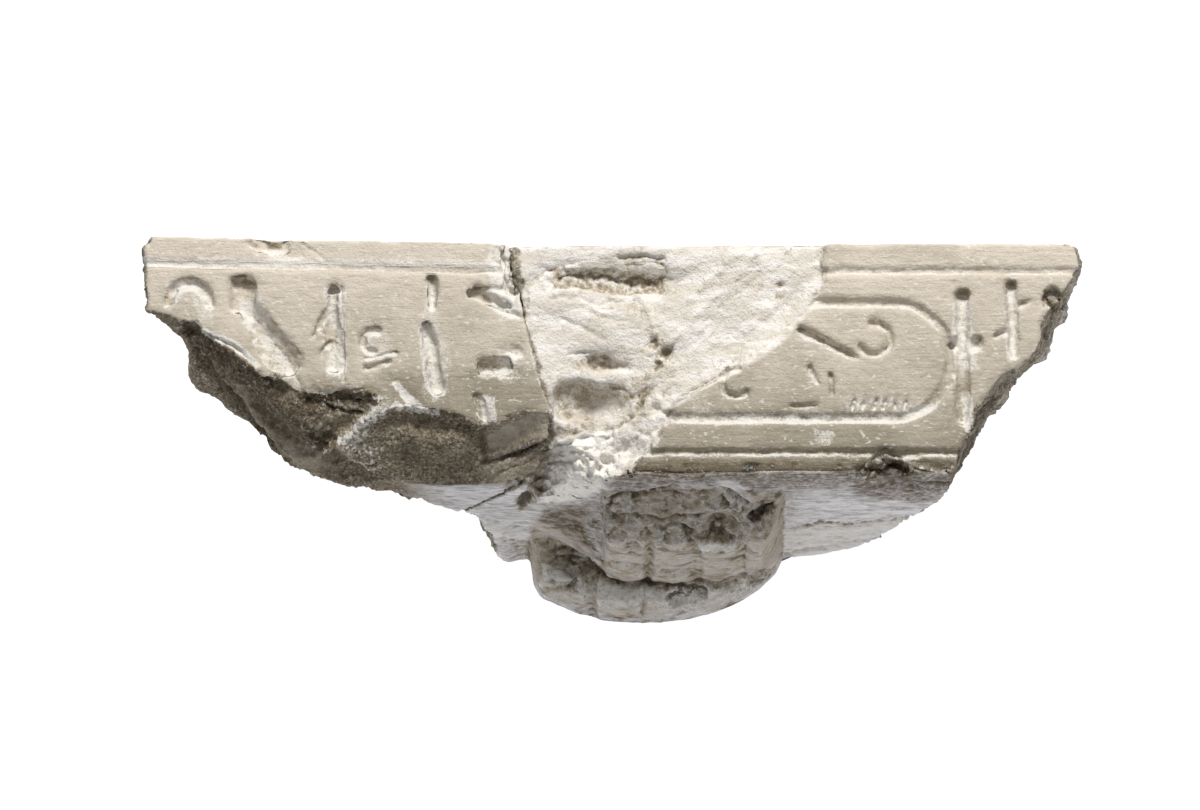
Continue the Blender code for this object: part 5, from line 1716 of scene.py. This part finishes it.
@dataclass
class Studio:
    """The floor, the light and the camera.

    Args:
        slab: The modelling frame, which says how the photograph sees the piece.
        width: The width of the photograph, in pixels.
        middle: The pixel in its middle.
        far: How far the camera stands from the face.
        sensor: The width of its sensor, in millimetres.
        glow: How strongly the floor lights the piece.
        sky: The colour of the even light all round.
        sky_strength: How strong that light is.
    """

    slab: Slab
    width: float = 1200.0
    middle: tuple[float, float] = (600.0, 405.0)
    far: float = 6.0
    sensor: float = 36.0
    glow: float = 0.97
    sky: Colour = (0.95, 0.97, 1.0)
    sky_strength: float = 0.42

    def build(self) -> None:
        """Sets up all of it."""
        self.floor()
        self.lights()
        self.camera()

    def floor(self) -> None:
        """A plain pale floor that the piece lies on."""
        mesh = bpy.data.meshes.new("floor")
        reach = 6.0
        corners = [(-reach, -reach, 0), (reach, -reach, 0), (reach, reach, 0), (-reach, reach, 0)]
        mesh.from_pydata(corners, [], [(0, 1, 2, 3)])
        floor = bpy.data.objects.new("floor", mesh)
        bpy.context.scene.collection.objects.link(floor)
        material = bpy.data.materials.new("pale_floor")
        material.use_nodes = True
        graph = Graph(material.node_tree)
        shader = material.node_tree.nodes["Principled BSDF"]
        grain = graph.noise(0.02, 3, 0.5)
        graph.join(graph.blend((0.2, 0.2, 0.2), (0.23, 0.23, 0.23), grain), shader.inputs["Base Color"])
        shader.inputs["Roughness"].default_value = 0.9
        shader.inputs["Emission Color"].default_value = (0.985, 0.985, 1.0, 1)
        shader.inputs["Emission Strength"].default_value = self.glow
        mesh.materials.append(material)

    def lamp(self, name: str, place: Vector, size: float, power: float, colour: Colour) -> None:
        """One soft lamp that faces the piece.

        Args:
            name: Its name.
            place: Where it stands.
            size: The length of its sides.
            power: Its power in watts.
            colour: The colour of its light.
        """
        data = bpy.data.lights.new(name, "AREA")
        data.size = size
        data.energy = power
        data.color = colour
        lamp = bpy.data.objects.new(name, data)
        lamp.location = place
        lamp.rotation_euler = (Vector((0, 0, 0.05)) - place).to_track_quat("-Z", "Y").to_euler()
        bpy.context.scene.collection.objects.link(lamp)

    def lights(self) -> None:
        """A soft key from behind the top face, and even light all round."""
        self.lamp("key", Vector((0.1, 0.62, 0.74)), size=0.2, power=9.0, colour=(1.0, 0.985, 0.955))
        world = bpy.data.worlds.new("studio")
        world.use_nodes = True
        back = world.node_tree.nodes["Background"]
        back.inputs["Color"].default_value = (*self.sky, 1)
        back.inputs["Strength"].default_value = self.sky_strength
        bpy.context.scene.world = world
        bpy.context.scene.view_settings.view_transform = "Standard"

    def camera(self) -> None:
        """The photograph's camera, far off with a long lens."""
        slab = self.slab
        data = bpy.data.cameras.new("camera")
        camera = bpy.data.objects.new("camera", data)
        bpy.context.scene.collection.objects.link(camera)
        across = (self.middle[0] - slab.foot[0]) / slab.scale
        rise = (slab.foot[1] - self.middle[1]) / slab.scale / math.cos(slab.tilt)
        aim = slab.origin() + Vector((across, rise, 0))
        back = Vector((0, -math.sin(slab.tilt), math.cos(slab.tilt)))
        camera.location = aim + back * self.far
        camera.rotation_euler = (slab.tilt, 0, 0)
        data.sensor_width = self.sensor
        data.lens = self.sensor * self.far * slab.scale / self.width
        data.clip_end = 40.0
        bpy.context.scene.camera = camera


def main() -> None:
    """Builds the dressed fragments and the studio."""
    logging.basicConfig(level=logging.INFO, format="%(message)s")
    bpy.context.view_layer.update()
    slab = Slab()
    dark = StoneFinish("left_limestone", broken=(0.2, 0.168, 0.118), cool_and_floor_light=(0.5, 0.485, 0.49))
    clean = StoneFinish("right_limestone")
    left = Fragment(
        "left_fragment",
        slab,
        dark,
        marks=LEFT_MARKS,
        stains_and_shading=LEFT_STAINS_AND_SHADING,
        grits=LEFT_GRITS,
        outline=LEFT_FACE,
        rubbed=LEFT_RUBBED,
        faint=LEFT_FAINT,
        voxel=0.0003,
    )
    right = Fragment(
        "right_fragment",
        slab,
        clean,
        marks=RIGHT_MARKS,
        stains_and_shading=RIGHT_STAINS_AND_SHADING,
        grits=RIGHT_GRITS,
        outline=RIGHT_FACE,
        pale=PALE_BREAK,
        rubbed=RIGHT_RUBBED,
        faint=RIGHT_FAINT,
        voxel=0.00036,
    )
    left.build()
    right.build()
    Studio(slab).build()


if __name__ == "__main__":
    main()
